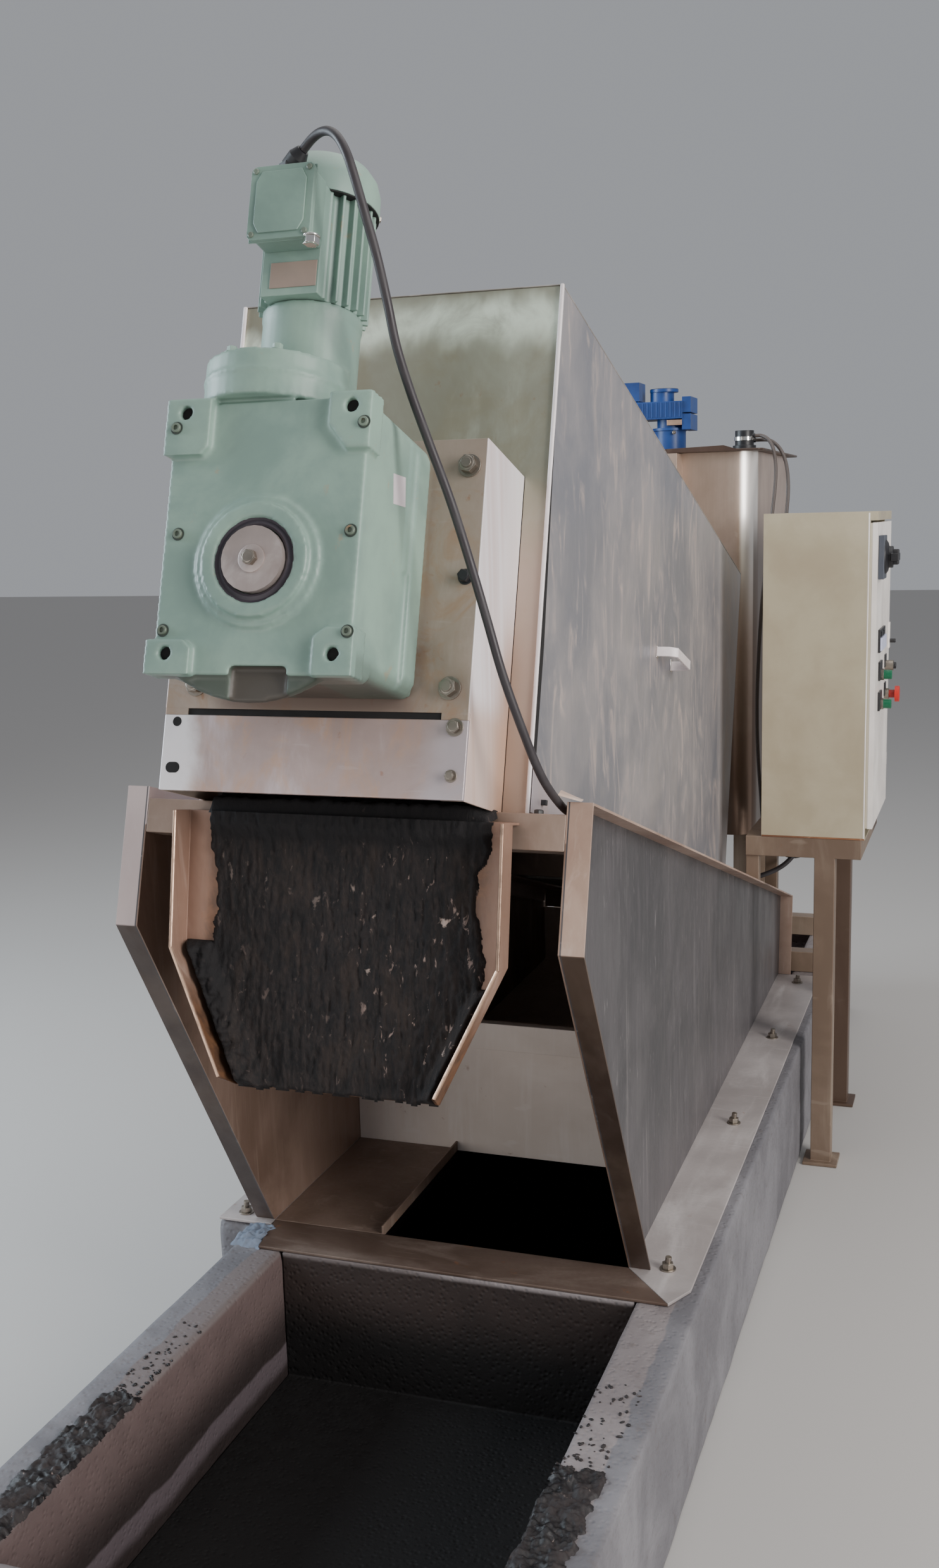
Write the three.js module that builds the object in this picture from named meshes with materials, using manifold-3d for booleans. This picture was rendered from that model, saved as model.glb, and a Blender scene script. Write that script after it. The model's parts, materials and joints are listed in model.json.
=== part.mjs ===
// A screw press for dewatering sludge, on its concrete kerb, with its mixing tank and control cabinet.
// Millimetres. X is to the right, Y runs away from the discharge end and Z is up.
import * as THREE from 'three';
import { mergeVertices } from 'three/addons/utils/BufferGeometryUtils.js';
import Module from 'manifold-3d';

const wasm = await Module();
wasm.setup();

// Frame of the machine: the screw axis leans down towards the rear, in the plane X = 0
const TILT = THREE.MathUtils.degToRad(16.72);
const DECK_HEIGHT = 930.8;
const SEAT_GAP = 0.3;
const SHEET = 4;

// Side plates, their folded edges and the base
const PLATE_X = 354;
const PLATE_FOLD = 40;
const PLATE_FRONT_TOP = [0, DECK_HEIGHT];
const PLATE_FRONT_LOW = [-65, 712];
const PLATE_FRONT_FOOT = [371, 6.3];
const PLATE_REAR_FOOT = [2277, 6.3];
const DECK_LENGTH = 2410;
const RAIL_INNER_X = 262;
const RAIL_TOP = -19.3;
const RAIL_DEPTH = 40;
const RAIL_START = 62;
const BASE_THICKNESS = 6;
const BASE_OUTER_X = 478;
const BASE_FRONT_Y = 352;
const BAR_FRONT_Y = 260;

// Concrete kerb, cross wall and pit
const KERB_HEIGHT = 300;
const KERB_FRONT_Y = -760;
const KERB_REAR_Y = 2960;
const KERB_WIDTH = 110;
const PIT_LEFT_X = -287;
const PIT_RIGHT_X = 390;
const PLINTH_LEFT_X = -472;
const KERB_LEFT_X = -394;
const KERB_RIGHT_X = 500;
const PIT_FLOOR = 50;

// Filtrate tray and the cover beside it
const TRAY_FRONT_Y = 800;
const TRAY_REAR_Y = 2268;
const TRAY_HEIGHT = 300;
const TRAY_REAR_HEIGHT = 170;
const TRAY_LIP = [18, 58];
const COVER_EDGE_X = -125;
const COVER_LIP = 22;

// Chute for the pressed cake
const CHUTE_TOP = [12, -43, 904];
const CHUTE_LEAN = THREE.MathUtils.degToRad(10.08);
const CHUTE_HALF_WIDTH = 270;
const CHUTE_OUTLET_HALF = 170;
const CHUTE_STRAIGHT = 215;
const CHUTE_LENGTH = 429;
const CHUTE_WALL = 50;
const CHUTE_SLANT = 18;

// Discharge housing at the high end
const HOUSING_X = 247;
const HOUSING_SHIFT = -9;
const HOUSING_FRONT = -140;
const HOUSING_REAR = 44;
const HOUSING_LOW = -19;
const HOUSING_TOP = 517;
const SLOT_LOW = 98;
const SLOT_HIGH = 108;
const DRIVE_THICKNESS = 8;
const CHEEK_FOLD = 38;

// Screw and drum
const AXIS_T = 273;
const DRUM_OUTER = 180;
const DRUM_INNER = 150;
const DRUM_FRONT = -62;
const DRUM_REAR = 1750;
const RING_BANDS = 6;
const SCREW_RADIUS = 143;
const SCREW_CORE = 62;
const SCREW_PITCH = 170;
const BLADE = 9;
const SHAFT_RADIUS = 46;
const RUNNING_GAP = 0.5;

// Hood
const HOOD_X = 282;
const HOOD_FRONT = 45;
const HOOD_REAR = 1870;
const HOOD_TOP = 830;
const HOOD_SHEET = 3;
const HANDLE_S = [880, 1030];
const HANDLE_T = 410;
const HANDLE_REACH = 38;
const HANDLE_BEND = 12;
const HANDLE_STRAP = [6, 20];

// Gearbox, motor and terminal box
const GEAR_FRONT = -372;
const GEAR_PAD_FRONT = -385;
const GEAR_HALF = 148;
const GEAR_LOW = 118;
const GEAR_HIGH = 500;
const GEAR_STEP = [-301, -300];
const GEAR_LOW_BEHIND = 126;
const BELLY = [192, -6, 274];
const BELLY_DEPTH = [-366, -345];
const NOTCH_X = [-30, 55];
const GEAR_PAD_X = 155;
const BOSS_HOLE = [125, 144.5, 484.5, 10];
const HUB_RADII = [92, 80, 60];
const FLANGE_CENTRE = [-34, -286];
const FLANGE_RADIUS = 105;
const FLANGE_TOP = 572;
const MOTOR_S = -266;
const NECK_RADIUS = 71;
const NECK_TOP = 661;
const MOTOR_RADIUS = 69;
const FIN_RADIUS = 80;
const FIN_COUNT = 26;
const COWL_LOW = 820;
const COWL_TOP = 896;
const GLAND_LEAN = THREE.MathUtils.degToRad(55);
const GLAND_TURN = THREE.MathUtils.degToRad(25);
const GLAND_NUT = 16;
const BOX_HALF = 48;
const BOX_T = [722, 829];
const BOX_S = [-398, -351];

// Mixing tank on its trestle
const TANK_HALF = 305;
const TANK_Y = [2120, 2800];
const TANK_Z = [450, 1514];
const TANK_CORNER = 65;
const INLET_X = [-220, 104];
const INLET_DEPTH = 72;
const INLET_Z = [1230, 1512];
const LID_RIGHT_X = 330;
const TRESTLE_BEAM = 60;
const TRESTLE_LEG = 50;
const TRESTLE_Y = [2330, 2745];

// Mixer drive and level sensor on the tank lid
const MIXER_Y = 2460;
const MIXER_BORE = 30;
const MIXER_FOOT = 62;
const MIXER_NECK = [47, 1600];
const MIXER_WAIST = 38;
const MIXER_GEAR_X = [-89, 47];
const MIXER_GEAR_Z = [1625, 1675];
const MIXER_HALF = 58;
const MIXER_LUG_X = 72;
const MIXER_LUGS = [[1593, 1638], [1642, 1687]];
const MIXER_CAP = [35, -23];
const MIXER_LID = [42, -17];
const MIXER_LID_Z = [1704, 1713];
const MIXER_MOTOR = 46;
const MIXER_END_X = -230;
const MIXER_BOX_X = [-150, -83];
const MIXER_BOX_TOP = 1734;
const SENSOR_AT = [262, 2200];
const SENSOR_RADII = [32, 26];
const SENSOR_TOP = 1572;
const SENSOR_PORT_X = 292;

// Control cabinet and its frame
const CABINET_X = [399, 651];
const CABINET_Y = [1640, 2072];
const CABINET_Z = [550, 1345];
const CABINET_SHEET = 3;
const CABINET_HEAD = 21;
const DOOR_THICKNESS = 12;
const DOOR_Z = [579, 1319];
const DOOR_GAP = 5;
const HINGE_RADIUS = 8;
const HINGE_PIN = 4;
const HINGE_STEP = 32;
const HINGE_Z = [640, 1190];
const HINGE_REACH = 13;
const FRAME_BAR = 50;
const FRAME_X = [360, 643];
const FRAME_Y = [1640, 2120];
const POST_X = [360, 392];
const POST_Y = [1648, 1980];
const POST_WIDTH = 34;
const LEG_X = [530, 580];
const FOOT_REACH = 18;
const SWITCH_AT = [1705, 1236];
const SWITCH_PLATE = [84, 104];
const SWITCH_PLATE_THICKNESS = 14;
const SWITCH_STEM = 10;
const SWITCH_ROTOR = 26;
const SWITCH_TIP_X = 714;
const CONTROL_PLATE = 2;
const CONTROL_PLATE_Y = [1720, 1985];
const CONTROL_PLATE_Z = [815, 1072];
const METER = [10, [1727, 1807], [1010, 1062]];

// Corner pads of the gearbox as [side, inner x, low t, high t, chamfer across, chamfer up, corner]
const GEAR_PADS = [
  [1, 92, 425, 505, 29, 36, 'low'],
  [-1, 86, 424, 505, 10, 12, 'low'],
  [1, 95, 115, 182, 18, 14, 'high'],
  [-1, 86, 115, 164, 12, 10, 'high'],
];

// Dome of the fan cowl above its lower edge, as [radius, t]
const COWL_DOME = [[84.5, COWL_LOW], [84, 850], [79, 867], [66, 884], [42, 893], [18, COWL_TOP]];

// Buttons as [y, z, radius, reach]
const CONTROL_BUTTONS = [
  [1775, 938, 13, 24],
  [1775, 862, 13, 24],
  [1945, 944, 12, 27],
  [1945, 870, 9, 27],
  [1945, 870, 20, 36],
];

// Cables: radius, and the points they follow as [x, y, z]
const MOTOR_CABLE_RADIUS = 6.5;
const SENSOR_CABLE_RADIUS = 5;
const GLAND_PLATE_X = [425, 540];
const GLAND_PLATE_Y = [1935, 2055];
const GLAND_LENGTH = 30;
const CABINET_GLANDS = [[455, 1990], [500, 1965], [500, 2025]];

const paint = (color, roughness, metalness) => new THREE.MeshStandardMaterial({ color, roughness, metalness });
const stainless = () => paint(0x9a938a, 0.42, 0.85);
const dulledSteel = () => paint(0x6f6760, 0.6, 0.6);
const casting = () => paint(0x8fb8a2, 0.5, 0.1);
const concrete = () => paint(0x8b857c, 0.95, 0);
const cabinetPaint = () => paint(0xb3b096, 0.5, 0.1);
const bluePaint = () => paint(0x1d4f9c, 0.45, 0.1);
const blackPlastic = () => paint(0x1b1b1d, 0.6, 0);
const brightSteel = () => paint(0xd9dadb, 0.25, 0.95);

const press = new THREE.Group();
const leaning = new THREE.Group();
leaning.position.set(0, 0, DECK_HEIGHT);
leaning.rotation.x = -TILT;
press.add(leaning);

// Closed solids, joined and cut
function toSolid(geometry) {
  const bare = geometry.clone();
  bare.deleteAttribute('normal');
  bare.deleteAttribute('uv');
  const merged = mergeVertices(bare, 1e-3);
  const vertProperties = new Float32Array(merged.attributes.position.array);
  const triVerts = new Uint32Array(merged.index.array);
  return new wasm.Manifold(new wasm.Mesh({ numProp: 3, vertProperties, triVerts }));
}

function fromSolid(solid) {
  const mesh = solid.getMesh();
  const geometry = new THREE.BufferGeometry();
  geometry.setAttribute('position', new THREE.BufferAttribute(new Float32Array(mesh.vertProperties), 3));
  geometry.setIndex(new THREE.BufferAttribute(new Uint32Array(mesh.triVerts), 1));
  geometry.computeVertexNormals();
  return geometry;
}

function shape(joined, removed = []) {
  const whole = joined.map(toSolid).reduce((a, b) => a.add(b));
  return fromSolid(removed.map(toSolid).reduce((a, b) => a.subtract(b), whole));
}

function place(name, geometry, material, parent = press) {
  const mesh = new THREE.Mesh(geometry, material);
  mesh.name = name;
  parent.add(mesh);
  return mesh;
}

// Simple bodies
function box([x0, x1], [y0, y1], [z0, z1]) {
  const geometry = new THREE.BoxGeometry(x1 - x0, y1 - y0, z1 - z0);
  return geometry.translate((x0 + x1) / 2, (y0 + y1) / 2, (z0 + z1) / 2);
}

function extrude(outline, depth) {
  const flat = new THREE.Shape(outline.map(([a, b]) => new THREE.Vector2(a, b)));
  return new THREE.ExtrudeGeometry(flat, { depth, bevelEnabled: false });
}

const X_AXIS = new THREE.Vector3(1, 0, 0);
const Y_AXIS = new THREE.Vector3(0, 1, 0);
const Z_AXIS = new THREE.Vector3(0, 0, 1);

// An outline of [y, z] points, extruded along X
function prismX(outline, [x0, x1]) {
  const turn = new THREE.Matrix4().makeBasis(Y_AXIS, Z_AXIS, X_AXIS);
  return extrude(outline, x1 - x0).applyMatrix4(turn).translate(x0, 0, 0);
}

// An outline of [x, z] points, extruded along Y
function prismY(outline, [y0, y1]) {
  const turn = new THREE.Matrix4().makeBasis(X_AXIS, Z_AXIS, Y_AXIS.clone().negate());
  return extrude(outline, y1 - y0).applyMatrix4(turn).translate(0, y1, 0);
}

// An outline of [x, y] points, extruded along Z
function prismZ(outline, [z0, z1]) {
  return extrude(outline, z1 - z0).translate(0, 0, z0);
}

function rodX(radius, [x0, x1], y, z, sides = 24) {
  const rod = new THREE.CylinderGeometry(radius, radius, x1 - x0, sides).rotateZ(-Math.PI / 2);
  return rod.translate((x0 + x1) / 2, y, z);
}

function rodY(radius, x, [y0, y1], z, sides = 24) {
  return new THREE.CylinderGeometry(radius, radius, y1 - y0, sides).translate(x, (y0 + y1) / 2, z);
}

function rodZ(radius, x, y, [z0, z1], sides = 24, topRadius = radius) {
  const rod = new THREE.CylinderGeometry(topRadius, radius, z1 - z0, sides).rotateX(Math.PI / 2);
  return rod.translate(x, y, (z0 + z1) / 2);
}

// A rounded rectangle as a list of points
function roundedOutline([x0, x1], [y0, y1], radius, steps = 5) {
  const corners = [[x1, y0, -90], [x1, y1, 0], [x0, y1, 90], [x0, y0, 180]];
  const points = [];
  for (const [x, y, start] of corners) {
    const cx = x - Math.sign(x - (x0 + x1) / 2) * radius;
    const cy = y - Math.sign(y - (y0 + y1) / 2) * radius;
    for (let i = 0; i <= steps; i++) {
      const angle = THREE.MathUtils.degToRad(start + (90 * i) / steps);
      points.push([cx + radius * Math.cos(angle), cy + radius * Math.sin(angle)]);
    }
  }
  return points;
}

// The closed outline of a sheet that follows a line of points and lies on its left side
function strip(points, thickness) {
  const inner = points.map(([a, b], i) => {
    const before = points[Math.max(i - 1, 0)];
    const after = points[Math.min(i + 1, points.length - 1)];
    const sides = [[before, [a, b]], [[a, b], after]];
    const units = sides.filter(([p, q]) => p[0] !== q[0] || p[1] !== q[1]).map(([p, q]) => {
      const length = Math.hypot(q[0] - p[0], q[1] - p[1]);
      return [-(q[1] - p[1]) / length, (q[0] - p[0]) / length];
    });
    const sum = units.reduce((m, n) => [m[0] + n[0], m[1] + n[1]]);
    const size = sum[0] ** 2 + sum[1] ** 2;
    const reach = (thickness * units.length) / size;
    return [a + sum[0] * reach, b + sum[1] * reach];
  });
  return [...points, ...inner.reverse()];
}

const mirrored = (range, side) => (side > 0 ? range : [-range[1], -range[0]]);
const fromAxis = (s, t) => [
  s * Math.cos(TILT) + t * Math.sin(TILT),
  DECK_HEIGHT - s * Math.sin(TILT) + t * Math.cos(TILT),
];

// Concrete kerb around the cake pit, running on under the machine as its plinth
const kerbZ = [-KERB_HEIGHT, 0];
const kerbEndY = KERB_FRONT_Y + KERB_WIDTH;
const leftKerb = [
  [KERB_LEFT_X, KERB_FRONT_Y],
  [PIT_RIGHT_X - SEAT_GAP, KERB_FRONT_Y],
  [PIT_RIGHT_X - SEAT_GAP, kerbEndY],
  [PIT_LEFT_X, kerbEndY],
  [PIT_LEFT_X, BASE_FRONT_Y],
  [KERB_LEFT_X, BASE_FRONT_Y],
];
place('kerb_front', shape([prismZ(leftKerb, kerbZ)]), concrete());
const leftPlinth = [
  [PLINTH_LEFT_X, BASE_FRONT_Y + SEAT_GAP],
  [PIT_LEFT_X, BASE_FRONT_Y + SEAT_GAP],
  [PIT_LEFT_X, KERB_REAR_Y - KERB_WIDTH],
  [PIT_RIGHT_X - SEAT_GAP, KERB_REAR_Y - KERB_WIDTH],
  [PIT_RIGHT_X - SEAT_GAP, KERB_REAR_Y],
  [PLINTH_LEFT_X, KERB_REAR_Y],
];
place('plinth_left', shape([prismZ(leftPlinth, kerbZ)]), concrete());
place('kerb_right', shape([box([PIT_RIGHT_X, KERB_RIGHT_X], [KERB_FRONT_Y, KERB_REAR_Y], kerbZ)]), concrete());
const pitX = [PIT_LEFT_X + SEAT_GAP, PIT_RIGHT_X - SEAT_GAP];
const pitFloorZ = [-KERB_HEIGHT, -KERB_HEIGHT + PIT_FLOOR];
place('pit_floor', shape([
  box(pitX, [kerbEndY + SEAT_GAP, KERB_REAR_Y - KERB_WIDTH - SEAT_GAP], pitFloorZ),
  box(pitX, [BAR_FRONT_Y, PLATE_FRONT_FOOT[0]], kerbZ),
]), concrete());

// Side plates with outward folded edges, and a rail inside each that carries the hood
const plateRearTop = fromAxis(DECK_LENGTH, 0);
const plateEdge = [PLATE_REAR_FOOT, plateRearTop, PLATE_FRONT_TOP, PLATE_FRONT_LOW, PLATE_FRONT_FOOT];
const railOutline = [
  fromAxis(RAIL_START, RAIL_TOP - RAIL_DEPTH),
  fromAxis(DECK_LENGTH - 40, RAIL_TOP - RAIL_DEPTH),
  fromAxis(DECK_LENGTH - 40, RAIL_TOP),
  fromAxis(RAIL_START, RAIL_TOP),
];
const railRoom = [
  fromAxis(0, RAIL_TOP - RAIL_DEPTH - 1),
  fromAxis(DECK_LENGTH, RAIL_TOP - RAIL_DEPTH - 1),
  fromAxis(DECK_LENGTH, RAIL_TOP - 5),
  fromAxis(0, RAIL_TOP - 5),
];
for (const [word, side] of [['left', -1], ['right', 1]]) {
  const sheet = prismX(plateEdge, mirrored([PLATE_X, PLATE_X + SHEET], side));
  const folds = prismX(strip(plateEdge, SHEET), mirrored([PLATE_X, PLATE_X + PLATE_FOLD], side));
  const rail = prismX(railOutline, mirrored([RAIL_INNER_X, PLATE_X + 1], side));
  const under = prismX(railRoom, mirrored([RAIL_INNER_X - 1, PLATE_X - 5], side));
  place(`side_plate_${word}`, shape([sheet, folds, rail], [under]), stainless());
}

// Base flanges on the concrete, and the bar across the front
const flangeInner = PLATE_X;
const BAR_TIP_X = 449;
const rightFlange = [
  [flangeInner, PLATE_FRONT_FOOT[0] + SEAT_GAP],
  [BAR_TIP_X + SEAT_GAP, BAR_FRONT_Y + SEAT_GAP],
  [BASE_OUTER_X, BAR_FRONT_Y + 60],
  [BASE_OUTER_X, PLATE_REAR_FOOT[0]],
  [flangeInner, PLATE_REAR_FOOT[0]],
];
const baseZ = [SEAT_GAP, BASE_THICKNESS];
place('base_flange_right', shape([prismZ(rightFlange, baseZ)]), stainless());
const leftFlangeX = [PLINTH_LEFT_X + 6, -flangeInner];
place('base_flange_left', shape([box(leftFlangeX, [BASE_FRONT_Y, PLATE_REAR_FOOT[0]], baseZ)]), stainless());
const frontBar = [
  [-PLATE_X + SEAT_GAP, PLATE_FRONT_FOOT[0]],
  [-335, BAR_FRONT_Y],
  [BAR_TIP_X, BAR_FRONT_Y],
  [PLATE_X - SEAT_GAP, PLATE_FRONT_FOOT[0]],
];
place('base_bar_front', shape([prismZ(frontBar, baseZ)]), stainless());

// Filtrate tray between the plates: a front wall with a folded lip, a floor and a rear wall
const insideX = [-PLATE_X + SEAT_GAP, PLATE_X - SEAT_GAP];
const trayLine = [
  [TRAY_REAR_Y, TRAY_REAR_HEIGHT],
  [TRAY_REAR_Y, SEAT_GAP],
  [TRAY_FRONT_Y, SEAT_GAP],
  [TRAY_FRONT_Y, TRAY_HEIGHT],
];
const trayLipY = [TRAY_FRONT_Y - TRAY_LIP[0], TRAY_FRONT_Y + 1];
const trayLip = box(insideX, trayLipY, [TRAY_HEIGHT - TRAY_LIP[1], TRAY_HEIGHT]);
place('filtrate_tray', shape([prismX(strip(trayLine, -SHEET), insideX), trayLip]), dulledSteel());
const coverY = [PLATE_FRONT_FOOT[0] + SEAT_GAP, TRAY_FRONT_Y - SEAT_GAP];
place('pit_cover', shape([
  box([insideX[0], COVER_EDGE_X], coverY, baseZ),
  box([COVER_EDGE_X - SHEET, COVER_EDGE_X], coverY, [SEAT_GAP, COVER_LIP]),
]), dulledSteel());

// Cross-member between the plates at the high end: a channel with its web to the front
const channelLine = [[60, RAIL_TOP], [0, RAIL_TOP], [0, -75], [60, -75]];
place('cross_member', shape([prismX(strip(channelLine, 5), insideX)]), stainless(), leaning);

// Chute: a tray that hangs from the cross-member, with straight walls that draw in to the outlet
const chute = new THREE.Group();
chute.position.set(...CHUTE_TOP);
chute.rotation.x = -CHUTE_LEAN;
press.add(chute);
const chuteRight = [
  [CHUTE_HALF_WIDTH, 0],
  [CHUTE_HALF_WIDTH, -CHUTE_STRAIGHT],
  [CHUTE_OUTLET_HALF, -CHUTE_LENGTH],
];
const chuteLeft = chuteRight.map(([x, z]) => [-x, z]).reverse();
const chuteRim = [
  [-CHUTE_HALF_WIDTH, -SHEET], [CHUTE_HALF_WIDTH, -SHEET], [CHUTE_HALF_WIDTH, 0], [-CHUTE_HALF_WIDTH, 0],
];
const wallEnds = [
  [-CHUTE_WALL - 1, -CHUTE_LENGTH - 1],
  [-SHEET, -CHUTE_LENGTH - 1],
  [-CHUTE_WALL - 1, -CHUTE_LENGTH + CHUTE_SLANT],
];
place('chute', shape([
  prismY([...chuteRight, ...chuteLeft].reverse(), [-SHEET, 0]),
  prismY(strip(chuteRight, -SHEET), [-CHUTE_WALL, 0]),
  prismY(strip(chuteLeft, -SHEET), [-CHUTE_WALL, 0]),
  prismY(chuteRim, [-1, 32.3]),
], [prismX(wallEnds, [-CHUTE_HALF_WIDTH, CHUTE_HALF_WIDTH])]), stainless(), chute);

// Discharge housing: drive plate, folded top and cheeks in one, and the lower cover
const drivePlateS = [HOUSING_FRONT, HOUSING_FRONT + DRIVE_THICKNESS];
const shaftBore = () => rodY(SHAFT_RADIUS + RUNNING_GAP, 0, [-500, 200], AXIS_T, 32);
const cheekFront = drivePlateS[1] + SEAT_GAP;
const cheekT = [HOUSING_LOW, HOUSING_TOP];
const housingSpan = (half) => [HOUSING_SHIFT - half, HOUSING_SHIFT + half];
const housingX = housingSpan(HOUSING_X);
const cheekX = (width, side) => mirrored([HOUSING_X - width, HOUSING_X], side).map((x) => x + HOUSING_SHIFT);
const cheeks = [-1, 1].flatMap((side) => [
  box(cheekX(SHEET, side), [cheekFront, HOUSING_REAR], cheekT),
  box(cheekX(CHEEK_FOLD, side), [cheekFront, cheekFront + SHEET], cheekT),
]);
place('discharge_housing', shape([
  box(housingX, [HOUSING_FRONT, cheekFront + 1], [SLOT_HIGH, HOUSING_TOP]),
  box(housingX, [HOUSING_FRONT, HOUSING_REAR], [HOUSING_TOP - SHEET, HOUSING_TOP]),
  ...cheeks,
], [shaftBore()]), stainless(), leaning);
place('discharge_cover', shape([box(housingX, drivePlateS, [HOUSING_LOW, SLOT_LOW])]), stainless(), leaning);

// Drum: a ringed tube with a square flange at the high end and an end plate on the rails
const drumProfile = [[DRUM_INNER, DRUM_FRONT], [DRUM_OUTER, DRUM_FRONT]];
const bandLength = (DRUM_REAR - 60) / RING_BANDS;
for (let i = 0; i < RING_BANDS; i++) {
  const start = 48 + i * bandLength;
  drumProfile.push([DRUM_OUTER, start], [DRUM_OUTER - 14, start + 4]);
  drumProfile.push([DRUM_OUTER - 14, start + bandLength - 34], [DRUM_OUTER, start + bandLength - 30]);
}
drumProfile.push([DRUM_OUTER, DRUM_REAR], [DRUM_INNER, DRUM_REAR], [DRUM_INNER, DRUM_FRONT]);
const drumTube = new THREE.LatheGeometry(drumProfile.map(([r, h]) => new THREE.Vector2(r, h)), 24);
drumTube.translate(0, 0, AXIS_T);
const drumFlange = box(housingSpan(HOUSING_X - SHEET - SEAT_GAP), [20, 28], [60, 486]);
const drumEnd = box([-HOOD_X + 8, HOOD_X - 8], [DRUM_REAR - 10, DRUM_REAR], [RAIL_TOP + SEAT_GAP, 500]);
const drumBore = rodY(DRUM_INNER, 0, [DRUM_FRONT - 20, DRUM_REAR - 9], AXIS_T, 24);
const stubRadius = 25;
place('screw_drum', shape([drumTube, drumFlange, drumEnd], [
  drumBore,
  rodY(stubRadius + RUNNING_GAP, 0, [DRUM_REAR - 20, DRUM_REAR + 20], AXIS_T),
]), stainless(), leaning);

// Screw: end disc in the gearbox hub, shaft, core and a spiral blade
const screwProfile = [
  [0, GEAR_PAD_FRONT - 6], [SHAFT_RADIUS, GEAR_PAD_FRONT - 6], [SHAFT_RADIUS, -80], [SCREW_CORE, -72],
  [SCREW_CORE, DRUM_REAR - 30], [stubRadius, DRUM_REAR - 24], [stubRadius, DRUM_REAR + 6], [0, DRUM_REAR + 6],
];
const shaft = new THREE.LatheGeometry(screwProfile.map(([r, h]) => new THREE.Vector2(r, h)), 24);
shaft.translate(0, 0, AXIS_T);

// A blade that winds round the core: each station is a thin radial rectangle
function spiral(inner, outer, thickness, pitch, start, end, stepsPerTurn) {
  const steps = Math.round(((end - start) / pitch) * stepsPerTurn);
  const positions = [];
  const index = [];
  for (let i = 0; i <= steps; i++) {
    const along = start + ((end - start) * i) / steps;
    const angle = ((along - start) / pitch) * 2 * Math.PI;
    for (const [radius, shift] of [[inner, 0], [outer, 0], [outer, thickness], [inner, thickness]]) {
      positions.push(radius * Math.cos(angle), along + shift, radius * Math.sin(angle));
    }
  }
  for (let i = 0; i < steps; i++) {
    for (let j = 0; j < 4; j++) {
      const a = i * 4 + j;
      const b = i * 4 + ((j + 1) % 4);
      index.push(a, b, b + 4, a, b + 4, a + 4);
    }
  }
  const last = steps * 4;
  index.push(0, 2, 1, 0, 3, 2, last, last + 1, last + 2, last, last + 2, last + 3);
  const geometry = new THREE.BufferGeometry();
  geometry.setAttribute('position', new THREE.BufferAttribute(new Float32Array(positions), 3));
  geometry.setIndex(index);
  return geometry.translate(0, 0, AXIS_T);
}
const blade = spiral(SCREW_CORE - 6, SCREW_RADIUS, BLADE, SCREW_PITCH, -40, DRUM_REAR - 50, 12);
place('press_screw', shape([shaft, blade]), stainless(), leaning);

// Hood: sheets round the drum, open below, with a doorway in front for the housing
const hoodT = [RAIL_TOP + SEAT_GAP, HOOD_TOP];
const hoodInner = HOOD_X - HOOD_SHEET;
const [doorLeft, doorRight] = housingSpan(HOUSING_X + SEAT_GAP);
const hoodFront = [
  [-HOOD_X, hoodT[0]], [doorLeft, hoodT[0]], [doorLeft, HOUSING_TOP + SEAT_GAP],
  [doorRight, HOUSING_TOP + SEAT_GAP], [doorRight, hoodT[0]], [HOOD_X, hoodT[0]],
  [HOOD_X, HOOD_TOP], [-HOOD_X, HOOD_TOP],
];
place('hood_front', shape([prismY(hoodFront, [HOOD_FRONT, HOOD_FRONT + HOOD_SHEET])]), stainless(), leaning);
const hoodSideS = [HOOD_FRONT + HOOD_SHEET + SEAT_GAP, HOOD_REAR - HOOD_SHEET - SEAT_GAP];
const hoodSideT = [hoodT[0], HOOD_TOP - HOOD_SHEET - SEAT_GAP];
const handleMiddle = (HANDLE_S[0] + HANDLE_S[1]) / 2;
for (const [word, side] of [['left', -1], ['right', 1]]) {
  const sheetX = mirrored([hoodInner, HOOD_X], side);
  place(`hood_side_${word}`, shape([box(sheetX, hoodSideS, hoodSideT)]), stainless(), leaning);
  const bowLine = [
    [HOOD_X + SEAT_GAP, HANDLE_S[0]],
    [HOOD_X + HANDLE_REACH - HANDLE_BEND, HANDLE_S[0] + 2],
    [HOOD_X + HANDLE_REACH, HANDLE_S[0] + HANDLE_BEND],
    [HOOD_X + HANDLE_REACH, HANDLE_S[1] - HANDLE_BEND],
    [HOOD_X + HANDLE_REACH - HANDLE_BEND, HANDLE_S[1] - 2],
    [HOOD_X + SEAT_GAP, HANDLE_S[1]],
  ];
  const [strapThickness, strapWidth] = HANDLE_STRAP;
  const strapT = [HANDLE_T - strapWidth / 2, HANDLE_T + strapWidth / 2];
  const bow = prismZ(strip(bowLine, -strapThickness), strapT);
  if (side < 0) {
    bow.rotateZ(Math.PI).translate(0, 2 * handleMiddle, 0);
  }
  place(`hood_handle_${word}`, shape([bow]), brightSteel(), leaning);
}
place('hood_top', shape([
  box([-HOOD_X, HOOD_X], hoodSideS, [HOOD_TOP - HOOD_SHEET, HOOD_TOP]),
]), stainless(), leaning);
place('hood_rear', shape([
  box([-HOOD_X, HOOD_X], [HOOD_REAR - HOOD_SHEET, HOOD_REAR], hoodT),
  box(insideX, [HOOD_REAR - 1, DECK_LENGTH - 60], [hoodT[0], hoodT[0] + HOOD_SHEET]),
]), stainless(), leaning);

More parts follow.
